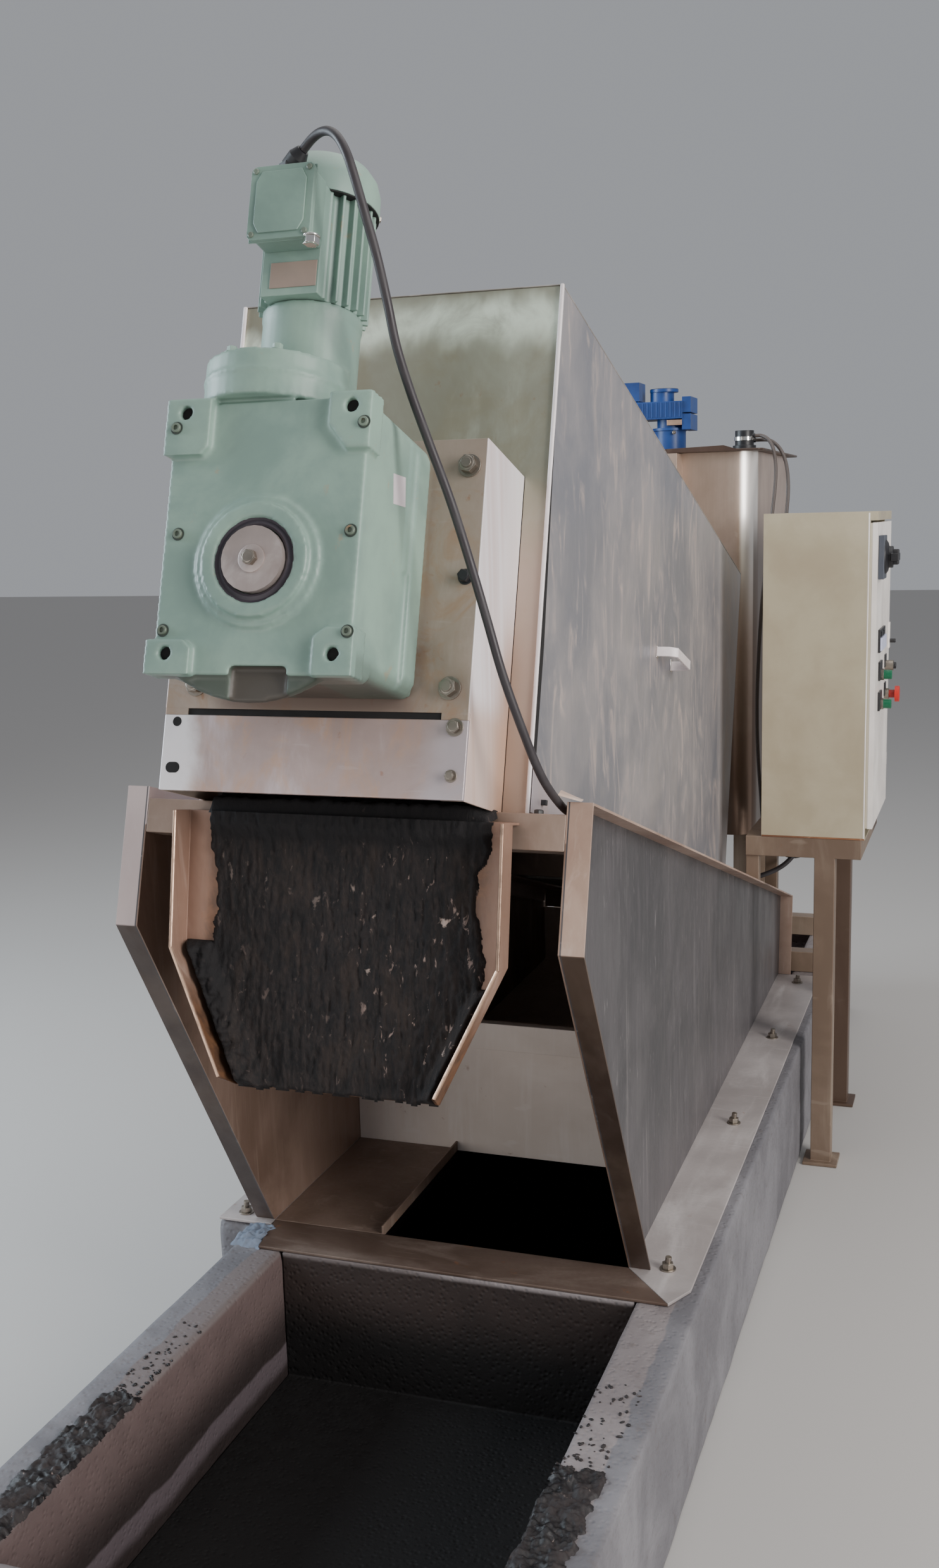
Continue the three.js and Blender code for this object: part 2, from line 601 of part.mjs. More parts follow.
// Gearbox: a square casting with corner pads, a raised hub and a rounded belly behind its face
const gearBack = HOUSING_FRONT - SEAT_GAP;
const [bossX, bossLow, bossHigh, bossRadius] = BOSS_HOLE;
const padDepth = [GEAR_PAD_FRONT, GEAR_FRONT + 30];
const bossDepth = [GEAR_PAD_FRONT - 5, GEAR_FRONT + 12];
const pads = GEAR_PADS.map(([side, inner, low, high, across, up, corner]) => {
  const [inside, outside] = corner === 'low' ? [low, high] : [high, low];
  const rise = corner === 'low' ? up : -up;
  const outline = [
    [inner, outside],
    [inner, inside + rise],
    [inner + across, inside],
    [GEAR_PAD_X, inside],
    [GEAR_PAD_X, outside],
  ];
  return prismY(outline.map(([x, t]) => [side * x, t]), padDepth);
});
const bossHoles = [-1, 1].flatMap((side) => (
  [bossLow, bossHigh].map((t) => rodY(bossRadius, side * bossX, bossDepth, t, 12))
));
const gearOutline = roundedOutline([-GEAR_HALF, GEAR_HALF], [GEAR_LOW, GEAR_HIGH], 14, 3);
const gearRear = roundedOutline([-GEAR_HALF, GEAR_HALF], [GEAR_LOW_BEHIND, GEAR_HIGH], 14, 3);
const backOutline = roundedOutline([-GEAR_HALF - 9, GEAR_HALF + 9], [GEAR_LOW_BEHIND, GEAR_HIGH - 4], 24, 3);
const hubRing = rodY(HUB_RADII[0], 0, [GEAR_FRONT - 6, GEAR_FRONT + 10], AXIS_T, 40);
const hubLip = rodY(HUB_RADII[1], 0, [GEAR_FRONT - 16, GEAR_FRONT + 10], AXIS_T, 40);
const sealRecess = rodY(HUB_RADII[2], 0, [GEAR_FRONT - 20, GEAR_FRONT - 8], AXIS_T, 32);
const [bellyRadius, bellyX, bellyT] = BELLY;
const bellyRound = rodY(bellyRadius, bellyX, BELLY_DEPTH, bellyT, 48);
const bellyRoom = box([-GEAR_HALF + 1, GEAR_HALF - 1], [-400, 0], [0, GEAR_LOW + 60]);
const belly = fromSolid(toSolid(bellyRound).intersect(toSolid(bellyRoom)));
const faceNotch = box(NOTCH_X, [GEAR_FRONT - 5, GEAR_FRONT + 14], [GEAR_LOW - 60, GEAR_LOW + 12]);
const gearbox = shape([
  prismY(gearOutline, [GEAR_FRONT, GEAR_STEP[1]]),
  prismY(gearRear, [GEAR_STEP[0], gearBack]),
  prismY(backOutline, [gearBack - 62, gearBack - 14]),
  belly,
  hubRing,
  hubLip,
  ...pads,
], [...bossHoles, sealRecess, shaftBore(), faceNotch]);
place('gearbox_housing', gearbox, casting(), leaning);

// Input flange and neck, standing on the gearbox
place('input_flange', shape([
  rodZ(FLANGE_RADIUS - 32, ...FLANGE_CENTRE, [GEAR_HIGH + SEAT_GAP, GEAR_HIGH + 12], 40),
  rodZ(FLANGE_RADIUS, ...FLANGE_CENTRE, [GEAR_HIGH + 7, FLANGE_TOP], 40),
  rodZ(NECK_RADIUS, 0, MOTOR_S, [GEAR_HIGH + 12, NECK_TOP], 36),
]), casting(), leaning);

// Motor: a finned body with a flat pad in front, and the fan cowl
const finOutline = [];
for (let i = 0; i < FIN_COUNT; i++) {
  const pitch = (2 * Math.PI) / FIN_COUNT;
  const fin = [[-0.2, MOTOR_RADIUS], [-0.12, FIN_RADIUS], [0.12, FIN_RADIUS], [0.2, MOTOR_RADIUS]];
  for (const [part, radius] of fin) {
    const angle = (i + part) * pitch;
    finOutline.push([radius * Math.cos(angle), MOTOR_S + radius * Math.sin(angle)]);
  }
}
const bodyT = [NECK_TOP + SEAT_GAP, COWL_LOW - SEAT_GAP];
place('motor_body', shape([
  prismZ(finOutline, bodyT),
  box([-44, 44], [BOX_S[1] + SEAT_GAP, MOTOR_S], bodyT),
]), casting(), leaning);
const cowlRings = [[0, COWL_LOW], ...COWL_DOME, [0, COWL_TOP]];
const cowl = new THREE.LatheGeometry(cowlRings.map(([r, h]) => new THREE.Vector2(r, h)), 36);
cowl.rotateX(Math.PI / 2).translate(0, MOTOR_S, 0);
place('fan_cowl', shape([cowl]), casting(), leaning);

// Terminal box on the front of the motor, its lid and the cable gland
const lidOutline = roundedOutline([-BOX_HALF, BOX_HALF], BOX_T, 9, 3);
const caseOutline = roundedOutline([-BOX_HALF + 3, BOX_HALF - 3], [BOX_T[0] + 3, BOX_T[1] - 3], 7, 3);
place('terminal_box', shape([
  prismY(lidOutline, [BOX_S[0], BOX_S[0] + 9]),
  prismY(caseOutline, [BOX_S[0] + 8, BOX_S[1]]),
]), casting(), leaning);
const glandFoot = [-4, -369, BOX_T[1] - 3 + SEAT_GAP];
const glandBody = [rodZ(14.5, 0, 0, [0, 18], 16), rodZ(14.5, 0, 0, [17, 30], 16, 9)];
for (const piece of glandBody) {
  piece.rotateY(GLAND_LEAN).rotateZ(-GLAND_TURN);
  piece.translate(glandFoot[0], glandFoot[1], glandFoot[2] + GLAND_NUT - 2);
}
place('cable_gland', shape([
  rodZ(16.5, glandFoot[0], glandFoot[1], [glandFoot[2], glandFoot[2] + GLAND_NUT], 6),
  ...glandBody,
]), blackPlastic(), leaning);

// Mixing tank: a rounded square shell with an inlet box in front, a lid and a trestle
const tankOutline = roundedOutline([-TANK_HALF, TANK_HALF], TANK_Y, TANK_CORNER, 6);
const tankHollow = roundedOutline(
  [-TANK_HALF + SHEET, TANK_HALF - SHEET], [TANK_Y[0] + SHEET, TANK_Y[1] - SHEET], TANK_CORNER - SHEET, 6);
const inletBox = box(INLET_X, [TANK_Y[0] - INLET_DEPTH, TANK_Y[0] + 1], INLET_Z);
const inletHollow = box(
  [INLET_X[0] + SHEET, INLET_X[1] - SHEET],
  [TANK_Y[0] - INLET_DEPTH + SHEET, TANK_Y[0] - 1],
  [INLET_Z[0] + SHEET, TANK_Z[1] + 10]);
place('tank_shell', shape([
  prismZ(tankOutline, TANK_Z),
  inletBox,
], [
  prismZ(tankHollow, [TANK_Z[0] + SHEET, TANK_Z[1] + 10]),
  inletHollow,
]), stainless());
const lidZ = [TANK_Z[1] + SEAT_GAP, TANK_Z[1] + 6];
const lidOutlineTop = roundedOutline([-TANK_HALF - 12, LID_RIGHT_X], [TANK_Y[0] - 40, TANK_Y[1] + 12], 20, 3);
const lidSheet = prismZ(lidOutlineTop, lidZ);
const lidHole = rodZ(MIXER_BORE, 0, MIXER_Y, [TANK_Z[1] - 5, TANK_Z[1] + 20]);
place('tank_lid', shape([lidSheet], [lidHole]), stainless());
const trestleLegX = [TANK_HALF - 40 - TRESTLE_LEG, TANK_HALF - 40];
const trestle = TRESTLE_Y.flatMap((y) => {
  const beamY = [y, y + TRESTLE_LEG];
  const legZ = [TRESTLE_BEAM, TANK_Z[0] - SEAT_GAP];
  return [
    box([PLINTH_LEFT_X + 10, KERB_RIGHT_X - 10], beamY, [SEAT_GAP, TRESTLE_BEAM + 1]),
    box(mirrored(trestleLegX, -1), beamY, legZ),
    box(trestleLegX, beamY, legZ),
  ];
});
const trestleTieY = [TRESTLE_Y[0], TRESTLE_Y[1] + TRESTLE_LEG];
const trestleTieZ = [TANK_Z[0] - SEAT_GAP - TRESTLE_LEG, TANK_Z[0] - SEAT_GAP];
place('tank_trestle', shape([
  ...trestle,
  box(mirrored(trestleLegX, -1), trestleTieY, trestleTieZ),
  box(trestleLegX, trestleTieY, trestleTieZ),
]), dulledSteel());

// Mixer drive on the lid, with its motor to the left, and the level sensor
const mixerAxisZ = (MIXER_GEAR_Z[0] + MIXER_GEAR_Z[1]) / 2;
const mixerSpan = (half) => [MIXER_Y - half, MIXER_Y + half];
place('mixer_motor', shape([
  rodZ(MIXER_FOOT, 0, MIXER_Y, [lidZ[1] + SEAT_GAP, lidZ[1] + 12]),
  rodZ(MIXER_NECK[0], 0, MIXER_Y, [lidZ[1] + 6, MIXER_NECK[1]]),
  rodZ(MIXER_WAIST, 0, MIXER_Y, [MIXER_NECK[1] - 1, MIXER_GEAR_Z[0] + 1]),
  box(MIXER_GEAR_X, mixerSpan(MIXER_HALF), MIXER_GEAR_Z),
  ...MIXER_LUGS.map((lugZ) => box([MIXER_GEAR_X[1] - 1, MIXER_LUG_X], mixerSpan(MIXER_HALF - 6), lugZ)),
  rodZ(MIXER_CAP[0], MIXER_CAP[1], MIXER_Y, [MIXER_GEAR_Z[1] - 1, MIXER_LID_Z[0] + 1], 20),
  rodZ(MIXER_LID[0], MIXER_LID[1], MIXER_Y, MIXER_LID_Z, 20),
  rodX(MIXER_MOTOR, [MIXER_END_X, MIXER_GEAR_X[0] + 1], MIXER_Y, mixerAxisZ, 20),
  box(MIXER_BOX_X, mixerSpan(40), [mixerAxisZ + 30, MIXER_BOX_TOP]),
]), bluePaint());
place('level_sensor', shape([
  rodZ(SENSOR_RADII[0], ...SENSOR_AT, [lidZ[1] + SEAT_GAP, 1532], 20),
  rodZ(SENSOR_RADII[1], ...SENSOR_AT, [1528, SENSOR_TOP], 20),
  rodX(7, [270, SENSOR_PORT_X], 2193, 1557, 12),
  rodX(7, [270, SENSOR_PORT_X], 2207, 1546, 12),
]), blackPlastic());

// Control cabinet: an open box with a head over its door, the door with controls, and the frame below
const hingeAxis = [CABINET_X[1] + DOOR_GAP / 2, CABINET_Y[1] + HINGE_REACH];
const leafY = [CABINET_Y[1] - 1, hingeAxis[1] - HINGE_RADIUS + 2];
const hingeRod = (radius, rangeZ) => rodZ(radius, ...hingeAxis, rangeZ, 16);
const boxHinges = HINGE_Z.flatMap((z) => [
  box([CABINET_X[1] - 30, CABINET_X[1]], leafY, [z, z + HINGE_STEP]),
  hingeRod(HINGE_RADIUS, [z, z + HINGE_STEP]),
  hingeRod(HINGE_PIN, [z + HINGE_STEP - 1, z + 2 * HINGE_STEP]),
]);
const doorX = [CABINET_X[1] + DOOR_GAP, CABINET_X[1] + DOOR_GAP + DOOR_THICKNESS];
const head = box([CABINET_X[1] - 1, doorX[1]], CABINET_Y, [CABINET_Z[1] - CABINET_HEAD, CABINET_Z[1]]);
place('cabinet_box', shape([box(CABINET_X, CABINET_Y, CABINET_Z), head, ...boxHinges], [
  box(
    [CABINET_X[0] + CABINET_SHEET, CABINET_X[1] + 10],
    [CABINET_Y[0] + CABINET_SHEET, CABINET_Y[1] - CABINET_SHEET],
    [CABINET_Z[0] + CABINET_SHEET, CABINET_Z[1] - CABINET_HEAD - 1]),
]), cabinetPaint());
const doorHinges = HINGE_Z.flatMap((z) => {
  const knuckleZ = [z + HINGE_STEP + SEAT_GAP, z + 2 * HINGE_STEP];
  return [box(doorX, leafY, knuckleZ), hingeRod(HINGE_RADIUS, knuckleZ)];
});
const boreZ = (z) => [z + HINGE_STEP - 5, z + 2 * HINGE_STEP + 5];
const hingeBores = HINGE_Z.map((z) => hingeRod(HINGE_PIN + SEAT_GAP, boreZ(z)));
place('cabinet_door', shape([
  box(doorX, CABINET_Y, DOOR_Z),
  ...doorHinges,
], hingeBores), cabinetPaint());
const doorFace = doorX[1];
const [switchY, switchZ] = SWITCH_AT;
const switchBore = rodX(SWITCH_STEM + RUNNING_GAP, [doorFace - 5, doorFace + 20], switchY, switchZ, 16);
place('switch_plate', shape([
  box(
    [doorFace + SEAT_GAP, doorFace + SWITCH_PLATE_THICKNESS],
    [switchY - SWITCH_PLATE[0] / 2, switchY + SWITCH_PLATE[0] / 2],
    [switchZ - SWITCH_PLATE[1] / 2, switchZ + SWITCH_PLATE[1] / 2]),
], [switchBore]), blackPlastic());
const rotorX = doorFace + SWITCH_PLATE_THICKNESS + DOOR_GAP;
place('main_switch', shape([
  rodX(SWITCH_STEM, [doorFace + 2, rotorX + 3], switchY, switchZ, 16),
  rodX(SWITCH_ROTOR, [rotorX, rotorX + 13], switchY, switchZ, 24),
  box([rotorX + 9, SWITCH_TIP_X], [switchY - 32, switchY + 32], [switchZ - 9, switchZ + 9]),
]), blackPlastic());
const [meterReach, meterY, meterZ] = METER;
const controls = [
  box([doorFace + SEAT_GAP, doorFace + CONTROL_PLATE], CONTROL_PLATE_Y, CONTROL_PLATE_Z),
  box([doorFace + 1, doorFace + meterReach], meterY, meterZ),
];
for (const [y, z, radius, reach] of CONTROL_BUTTONS) {
  const inner = radius > 15 ? reach - 12 : 1;
  controls.push(rodX(radius, [doorFace + inner, doorFace + reach], y, z, 16));
}
place('control_strip', shape(controls), blackPlastic());

const frameZ = [CABINET_Z[0] - FRAME_BAR, CABINET_Z[0] - SEAT_GAP];
const posts = POST_Y.map((y) => {
  const seat = (at) => DECK_HEIGHT - at * Math.tan(TILT) + SEAT_GAP / Math.cos(TILT);
  const far = y + POST_WIDTH;
  const outline = [[y, seat(y)], [far, seat(far)], [far, frameZ[0] + 1], [y, frameZ[0] + 1]];
  return prismX(outline, POST_X);
});
const footZ = [-KERB_HEIGHT, -KERB_HEIGHT + 8];
const legs = [FRAME_Y[0], FRAME_Y[1] - FRAME_BAR].flatMap((y) => [
  box(LEG_X, [y, y + FRAME_BAR], [-KERB_HEIGHT + 5, frameZ[0] + 1]),
  box([LEG_X[0] - FOOT_REACH, LEG_X[1] + FOOT_REACH], [y - FOOT_REACH, y + FRAME_BAR + FOOT_REACH], footZ),
]);
place('cabinet_frame', shape([
  box(FRAME_X, [FRAME_Y[0], FRAME_Y[0] + FRAME_BAR], frameZ),
  box(FRAME_X, [FRAME_Y[1] - FRAME_BAR, FRAME_Y[1]], frameZ),
  box([FRAME_X[0], FRAME_X[0] + FRAME_BAR], FRAME_Y, frameZ),
  box([FRAME_X[1] - FRAME_BAR, FRAME_X[1]], FRAME_Y, frameZ),
  ...posts,
  ...legs,
]), stainless());

// Glands under the cabinet, on a plate that closes its cable opening
const plateZ = [CABINET_Z[0] - SEAT_GAP - 5, CABINET_Z[0] - SEAT_GAP];
place('gland_plate', shape([
  box(GLAND_PLATE_X, GLAND_PLATE_Y, plateZ),
  ...CABINET_GLANDS.map(([x, y]) => rodZ(13, x, y, [plateZ[1] - GLAND_LENGTH, plateZ[0] + 1], 12)),
]), blackPlastic());

// Cables: round tubes along the points that they follow
const cableEndZ = plateZ[1] - GLAND_LENGTH - SEAT_GAP;
function cable(name, radius, points, steps) {
  const stations = points.map((point) => new THREE.Vector3(...point));
  const route = new THREE.CatmullRomCurve3(stations, false, 'centripetal');
  const section = new THREE.Shape();
  section.absarc(0, 0, radius, 0, 2 * Math.PI, false);
  const tube = new THREE.ExtrudeGeometry(section, { steps, curveSegments: 4, extrudePath: route });
  place(name, shape([tube]), blackPlastic());
}
cable('motor_cable', MOTOR_CABLE_RADIUS, [
  [18.5, -116.7, 1861.4], [22.2, -117.5, 1864.6], [34.7, -121.3, 1873.5], [48.1, -127.2, 1878.5],
  [61.7, -134.7, 1878.6], [74.1, -142.6, 1874], [84.9, -150, 1865.7], [94.1, -156.2, 1854.6],
  [101.7, -160.6, 1841.8], [107.8, -163.3, 1827.7], [112.5, -164, 1813.3], [127, -163.1, 1760.8],
  [139, -155.5, 1706.3], [149, -147.3, 1646.4], [158, -141, 1588], [176, -143, 1530],
  [201, -143, 1460], [232, -141, 1374], [258, -138, 1287], [278, -133, 1211],
  [296, -122, 1133], [316, -99, 1053], [332, -59, 978], [339, 17, 922],
  [336, 90, 894.5], [328, 190, 862.5], [318, 380, 804.6], [326, 900, 648.4],
  [315, 1420, 492.2], [320, 1640, 426.5], [330, 1770, 393], [342, 1830, 392],
  [358.7, 1863.1, 393.7], [378.8, 1893.7, 396.4], [400.4, 1923.2, 402.8], [421.5, 1950.1, 415.4],
  [440.2, 1972.8, 438], [451.7, 1986.3, 470.2], [455, 1990, 506],
  [455, 1990, cableEndZ],
], 80);
cable('sensor_cable_front', SENSOR_CABLE_RADIUS, [
  [SENSOR_PORT_X + SEAT_GAP, 2193, 1557], [298, 2193, 1557],
  [306, 2192.5, 1557], [324, 2183, 1550], [343, 2162, 1528],
  [355, 2138, 1490], [360, 2115, 1440], [355, 2100, 1357], [343, 2094, 1250], [331, 2090, 1120],
  [323, 2088, 980], [319, 2087, 820], [323, 2087, 680], [331, 2084, 580], [338, 2078, 510],
  [354, 2070, 455], [383, 2052, 428], [425, 2014, 419], [464, 1984, 435], [491, 1967, 466],
  [500, 1965, 500], [500, 1965, cableEndZ],
], 54);
cable('sensor_cable_rear', SENSOR_CABLE_RADIUS, [
  [SENSOR_PORT_X + SEAT_GAP, 2207, 1546], [299, 2207, 1546],
  [308, 2206.5, 1546], [332, 2196, 1543], [362, 2172, 1520],
  [383, 2145, 1480], [393, 2122, 1418], [391, 2108, 1345], [382, 2104, 1250], [368, 2106, 1100],
  [356, 2110, 950], [347, 2112, 800], [344, 2112, 660], [346, 2110, 570], [351, 2106, 505],
  [366, 2100, 458], [398, 2086, 430], [440, 2062, 423], [476, 2038, 442], [496, 2026, 477],
  [500, 2025, 505], [500, 2025, cableEndZ],
], 54);

// The finished part stands on the floor, with its origin under the middle of the whole
press.position.set(
  -(PLINTH_LEFT_X + SWITCH_TIP_X) / 2,
  -(KERB_FRONT_Y + KERB_REAR_Y) / 2,
  KERB_HEIGHT);

export default press;
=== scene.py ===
"""A screw press for sludge: the finish of every surface, the cables, and the small things on its solids."""
import json
import math
import random

import bmesh
import bpy
from mathutils import Matrix, Vector, noise


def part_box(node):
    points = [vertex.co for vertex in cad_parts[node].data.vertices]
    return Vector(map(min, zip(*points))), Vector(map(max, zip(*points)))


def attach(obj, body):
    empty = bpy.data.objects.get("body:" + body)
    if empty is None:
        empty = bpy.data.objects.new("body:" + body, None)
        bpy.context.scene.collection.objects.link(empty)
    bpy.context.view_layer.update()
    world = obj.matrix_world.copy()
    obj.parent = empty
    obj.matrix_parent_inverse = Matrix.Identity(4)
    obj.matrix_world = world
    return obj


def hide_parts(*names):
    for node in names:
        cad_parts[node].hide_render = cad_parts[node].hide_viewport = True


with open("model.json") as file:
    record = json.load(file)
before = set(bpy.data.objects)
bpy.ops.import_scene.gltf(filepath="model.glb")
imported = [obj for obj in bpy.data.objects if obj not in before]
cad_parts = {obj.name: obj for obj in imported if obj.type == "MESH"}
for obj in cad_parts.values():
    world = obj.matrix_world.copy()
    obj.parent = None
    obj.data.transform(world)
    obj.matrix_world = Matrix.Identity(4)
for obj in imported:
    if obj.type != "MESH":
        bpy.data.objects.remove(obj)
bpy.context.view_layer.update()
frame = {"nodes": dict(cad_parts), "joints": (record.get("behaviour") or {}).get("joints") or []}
nodes = frame["nodes"]
scene = bpy.context.scene

# Places, in metres. The machine's own frame has its zero on the kerb, under the high end of the side plates.
MAIN = "press_frame"
TILT = math.radians(16.72)
DECK = 0.9308
KERB_FRONT = -0.760
AXIS_T = 0.273
AXIS_X = frame["joints"][0]["pos_m"][0]
kerb_low, kerb_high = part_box("kerb_right")
MACHINE = Vector((AXIS_X, kerb_low.y - KERB_FRONT, kerb_high.z))
UPRIGHT = Matrix.Translation(MACHINE)
LEANING = UPRIGHT @ Matrix.Translation((0, 0, DECK)) @ Matrix.Rotation(-TILT, 4, "X")
CHUTE_LEAN = math.radians(10.08)
CHUTE_SHIFT = 0.012
HOUSING_SHIFT = -0.009
CHUTE = UPRIGHT @ Matrix.Translation((CHUTE_SHIFT, -0.043, 0.904)) @ Matrix.Rotation(-CHUTE_LEAN, 4, "X")

# Kerb, in the machine's frame: inner faces, and the widths of the cream strip
PIT_LEFT = -0.287
PIT_RIGHT = 0.390
CREAM_LEFT = 0.341
CREAM_RIGHT = 0.460
PIT_FLOOR_TOP = kerb_low.z + 0.05

# Camera, solved from the photograph, in the machine's frame
CAMERA_AT = Vector((0.9674, -2.2044, 1.35))
CAMERA_YAW = 0.3349
CAMERA_PITCH = 0.1686
CAMERA_ROLL = 0.0241
CAMERA_LENS = 35.74


def make_camera():
    data = bpy.data.cameras.new("camera")
    data.lens = CAMERA_LENS
    data.sensor_width = 36.0
    data.sensor_fit = "AUTO"
    data.clip_start = 0.05
    data.clip_end = 100.0
    camera = bpy.data.objects.new("camera", data)
    scene.collection.objects.link(camera)
    level = math.cos(CAMERA_PITCH)
    forward = Vector((-math.sin(CAMERA_YAW) * level, math.cos(CAMERA_YAW) * level, -math.sin(CAMERA_PITCH)))
    right = Vector((math.cos(CAMERA_YAW), math.sin(CAMERA_YAW), 0))
    down = forward.cross(right)
    side = math.cos(CAMERA_ROLL) * right + math.sin(CAMERA_ROLL) * down
    up = math.sin(CAMERA_ROLL) * right - math.cos(CAMERA_ROLL) * down
    turn = Matrix((side, up, -forward)).transposed().to_4x4()
    camera.matrix_world = Matrix.Translation(MACHINE + CAMERA_AT) @ turn
    scene.camera = camera


make_camera()


# Materials, built from noise in the object's own coordinates


class Finish:
    """One material, with short calls for the nodes that it is made of."""

    def __init__(self, name, metal=0.0, rough=0.5):
        self.material = bpy.data.materials.new(name)
        self.material.use_nodes = True
        self.nodes = self.material.node_tree.nodes
        self.links = self.material.node_tree.links
        self.shader = self.nodes["Principled BSDF"]
        self.shader.inputs["Metallic"].default_value = metal
        self.shader.inputs["Roughness"].default_value = rough
        self.place = self.nodes.new("ShaderNodeTexCoord").outputs["Object"]

    def feed(self, socket, value):
        if isinstance(value, bpy.types.NodeSocket):
            self.links.new(value, socket)
        else:
            socket.default_value = value

    def node(self, kind, inputs):
        made = self.nodes.new(kind)
        for name, value in inputs.items():
            self.feed(made.inputs[name], value)
        return made

    def noise(self, scale, detail=5.0, rough=0.55, bend=0.0, turn=(0, 0, 0), shift=(0, 0, 0)):
        """Noise of one scale, or with one for each axis."""
        scales, scale = ((1, 1, 1), scale) if isinstance(scale, (int, float)) else (scale, 1.0)
        inputs = {"Vector": self.place, "Scale": scales, "Rotation": turn, "Location": shift}
        where = self.node("ShaderNodeMapping", inputs).outputs["Vector"]
        inputs = {"Vector": where, "Scale": scale, "Detail": detail, "Roughness": rough, "Distortion": bend}
        return self.node("ShaderNodeTexNoise", inputs).outputs["Fac"]

    def cells(self, scale):
        return self.node("ShaderNodeTexVoronoi", {"Vector": self.place, "Scale": scale}).outputs["Distance"]

    def rise(self, value, low, high, start=0.0, end=1.0):
        """Goes softly from start to end while the value goes from low to high."""
        inputs = {"Value": value, "From Min": low, "From Max": high, "To Min": start, "To Max": end}
        made = self.node("ShaderNodeMapRange", inputs)
        made.interpolation_type = "SMOOTHSTEP"
        return made.outputs["Result"]

    def fall(self, value, low, high):
        """Goes softly from 1 to 0 while the value goes from low to high."""
        return self.rise(value, low, high, 1.0, 0.0)

    def wander(self, value, reach):
        """A noise as a shift to either side, so that an edge isn't straight."""
        return self.rise(value, 0.2, 0.8, -reach, reach)

    def math(self, operation, first, second=0.0):
        made = self.nodes.new("ShaderNodeMath")
        made.operation = operation
        self.feed(made.inputs[0], first)
        self.feed(made.inputs[1], second)
        return made.outputs["Value"]

    def plus(self, first, second):
        return self.math("ADD", first, second)

    def minus(self, first, second):
        return self.math("SUBTRACT", first, second)

    def times(self, first, second):
        return self.math("MULTIPLY", first, second)

    def size(self, value):
        return self.math("ABSOLUTE", value)

    def axis(self, which):
        return self.node("ShaderNodeSeparateXYZ", {"Vector": self.place}).outputs[which]

    def off_axis(self):
        """Distance to the right of the screw's axis."""
        return self.minus(self.axis("X"), AXIS_X)

    def along_and_up(self):
        """Places in the machine's leaning frame: s along the screw and t square to it."""
        y = self.minus(self.axis("Y"), MACHINE.y)
        z = self.minus(self.axis("Z"), MACHINE.z + DECK)
        along = self.minus(self.times(y, math.cos(TILT)), self.times(z, math.sin(TILT)))
        up = self.plus(self.times(y, math.sin(TILT)), self.times(z, math.cos(TILT)))
        return along, up

    def mix(self, amount, first, second):
        """From the first colour to the second. Three numbers are a colour as tone takes it."""
        made = self.nodes.new("ShaderNodeMix")
        made.data_type = "RGBA"
        self.feed(made.inputs[0], amount)
        for socket, colour in ((made.inputs[6], first), (made.inputs[7], second)):
            on_screen = isinstance(colour, tuple) and len(colour) == 3
            self.feed(socket, tone(*colour) if on_screen else colour)
        return made.outputs[2]

    def over(self, under, colour, value, low, high, start=0.0, end=1.0):
        """A colour laid over another, as much as rise gives."""
        return self.mix(self.rise(value, low, high, start, end), under, colour)

    def colour(self, value):
        self.feed(self.shader.inputs["Base Color"], value)

    def rough(self, value):
        self.feed(self.shader.inputs["Roughness"], value)

    def bump(self, height, strength, distance):
        inputs = {"Strength": strength, "Distance": distance, "Height": height}
        self.feed(self.shader.inputs["Normal"], self.node("ShaderNodeBump", inputs).outputs["Normal"])


def tone(red, green, blue):
    """What a socket takes for a colour given as it looks on a screen, 0 to 255."""
    linear = (((c / 255 + 0.055) / 1.055) ** 2.4 if c > 10 else c / 3294.6 for c in (red, green, blue))
    return (*linear, 1.0)


LEAN_TURN = (TILT, 0, 0)


def worn_steel(
        name, base, dark, pale, stain, rust=0.0, streak=(26, 26, 2.2), turn=LEAN_TURN, metal=0.35,
        rough=(0.32, 0.6), scratch=0.35, bend=0.6, zones=None):
    """Sheet steel: cloudy stains, streaks that run down, fine scratches and rust spots."""
    f = Finish(name, metal=metal)
    clouds = f.noise(3.1, 6, 0.6, 0.4)
    streaks = f.noise(streak, 7, 0.62, bend, turn=turn)
    grain = f.noise((140, 140, 9), 3, 0.6, turn=turn)
    colour = f.over(dark, base, clouds, 0.36, 0.66)
    colour = f.over(colour, pale, streaks, 0.5, 0.74, 0.0, 0.75)
    colour = f.over(colour, dark, grain, 0.3, 0.75, 0.0, 0.22)
    lines = f.noise((9, 240, 30), 2, 0.5, turn=(0.5, 0.25, 0.9))
    colour = f.over(colour, pale, lines, 0.66, 0.72, 0.0, scratch)
    spots = f.noise(34, 4, 0.62, 0.3)
    colour = f.over(colour, stain, spots, 0.72 - 0.2 * rust, 0.8 - 0.14 * rust, 0.0, 0.2 + 0.6 * rust)
    if zones:
        colour = zones(f, colour, clouds)
    f.colour(colour)
    f.rough(f.rise(streaks, 0.3, 0.75, rough[0], rough[1]))
    f.bump(f.noise(55, 4), 0.25, 0.0005)
    return f.material


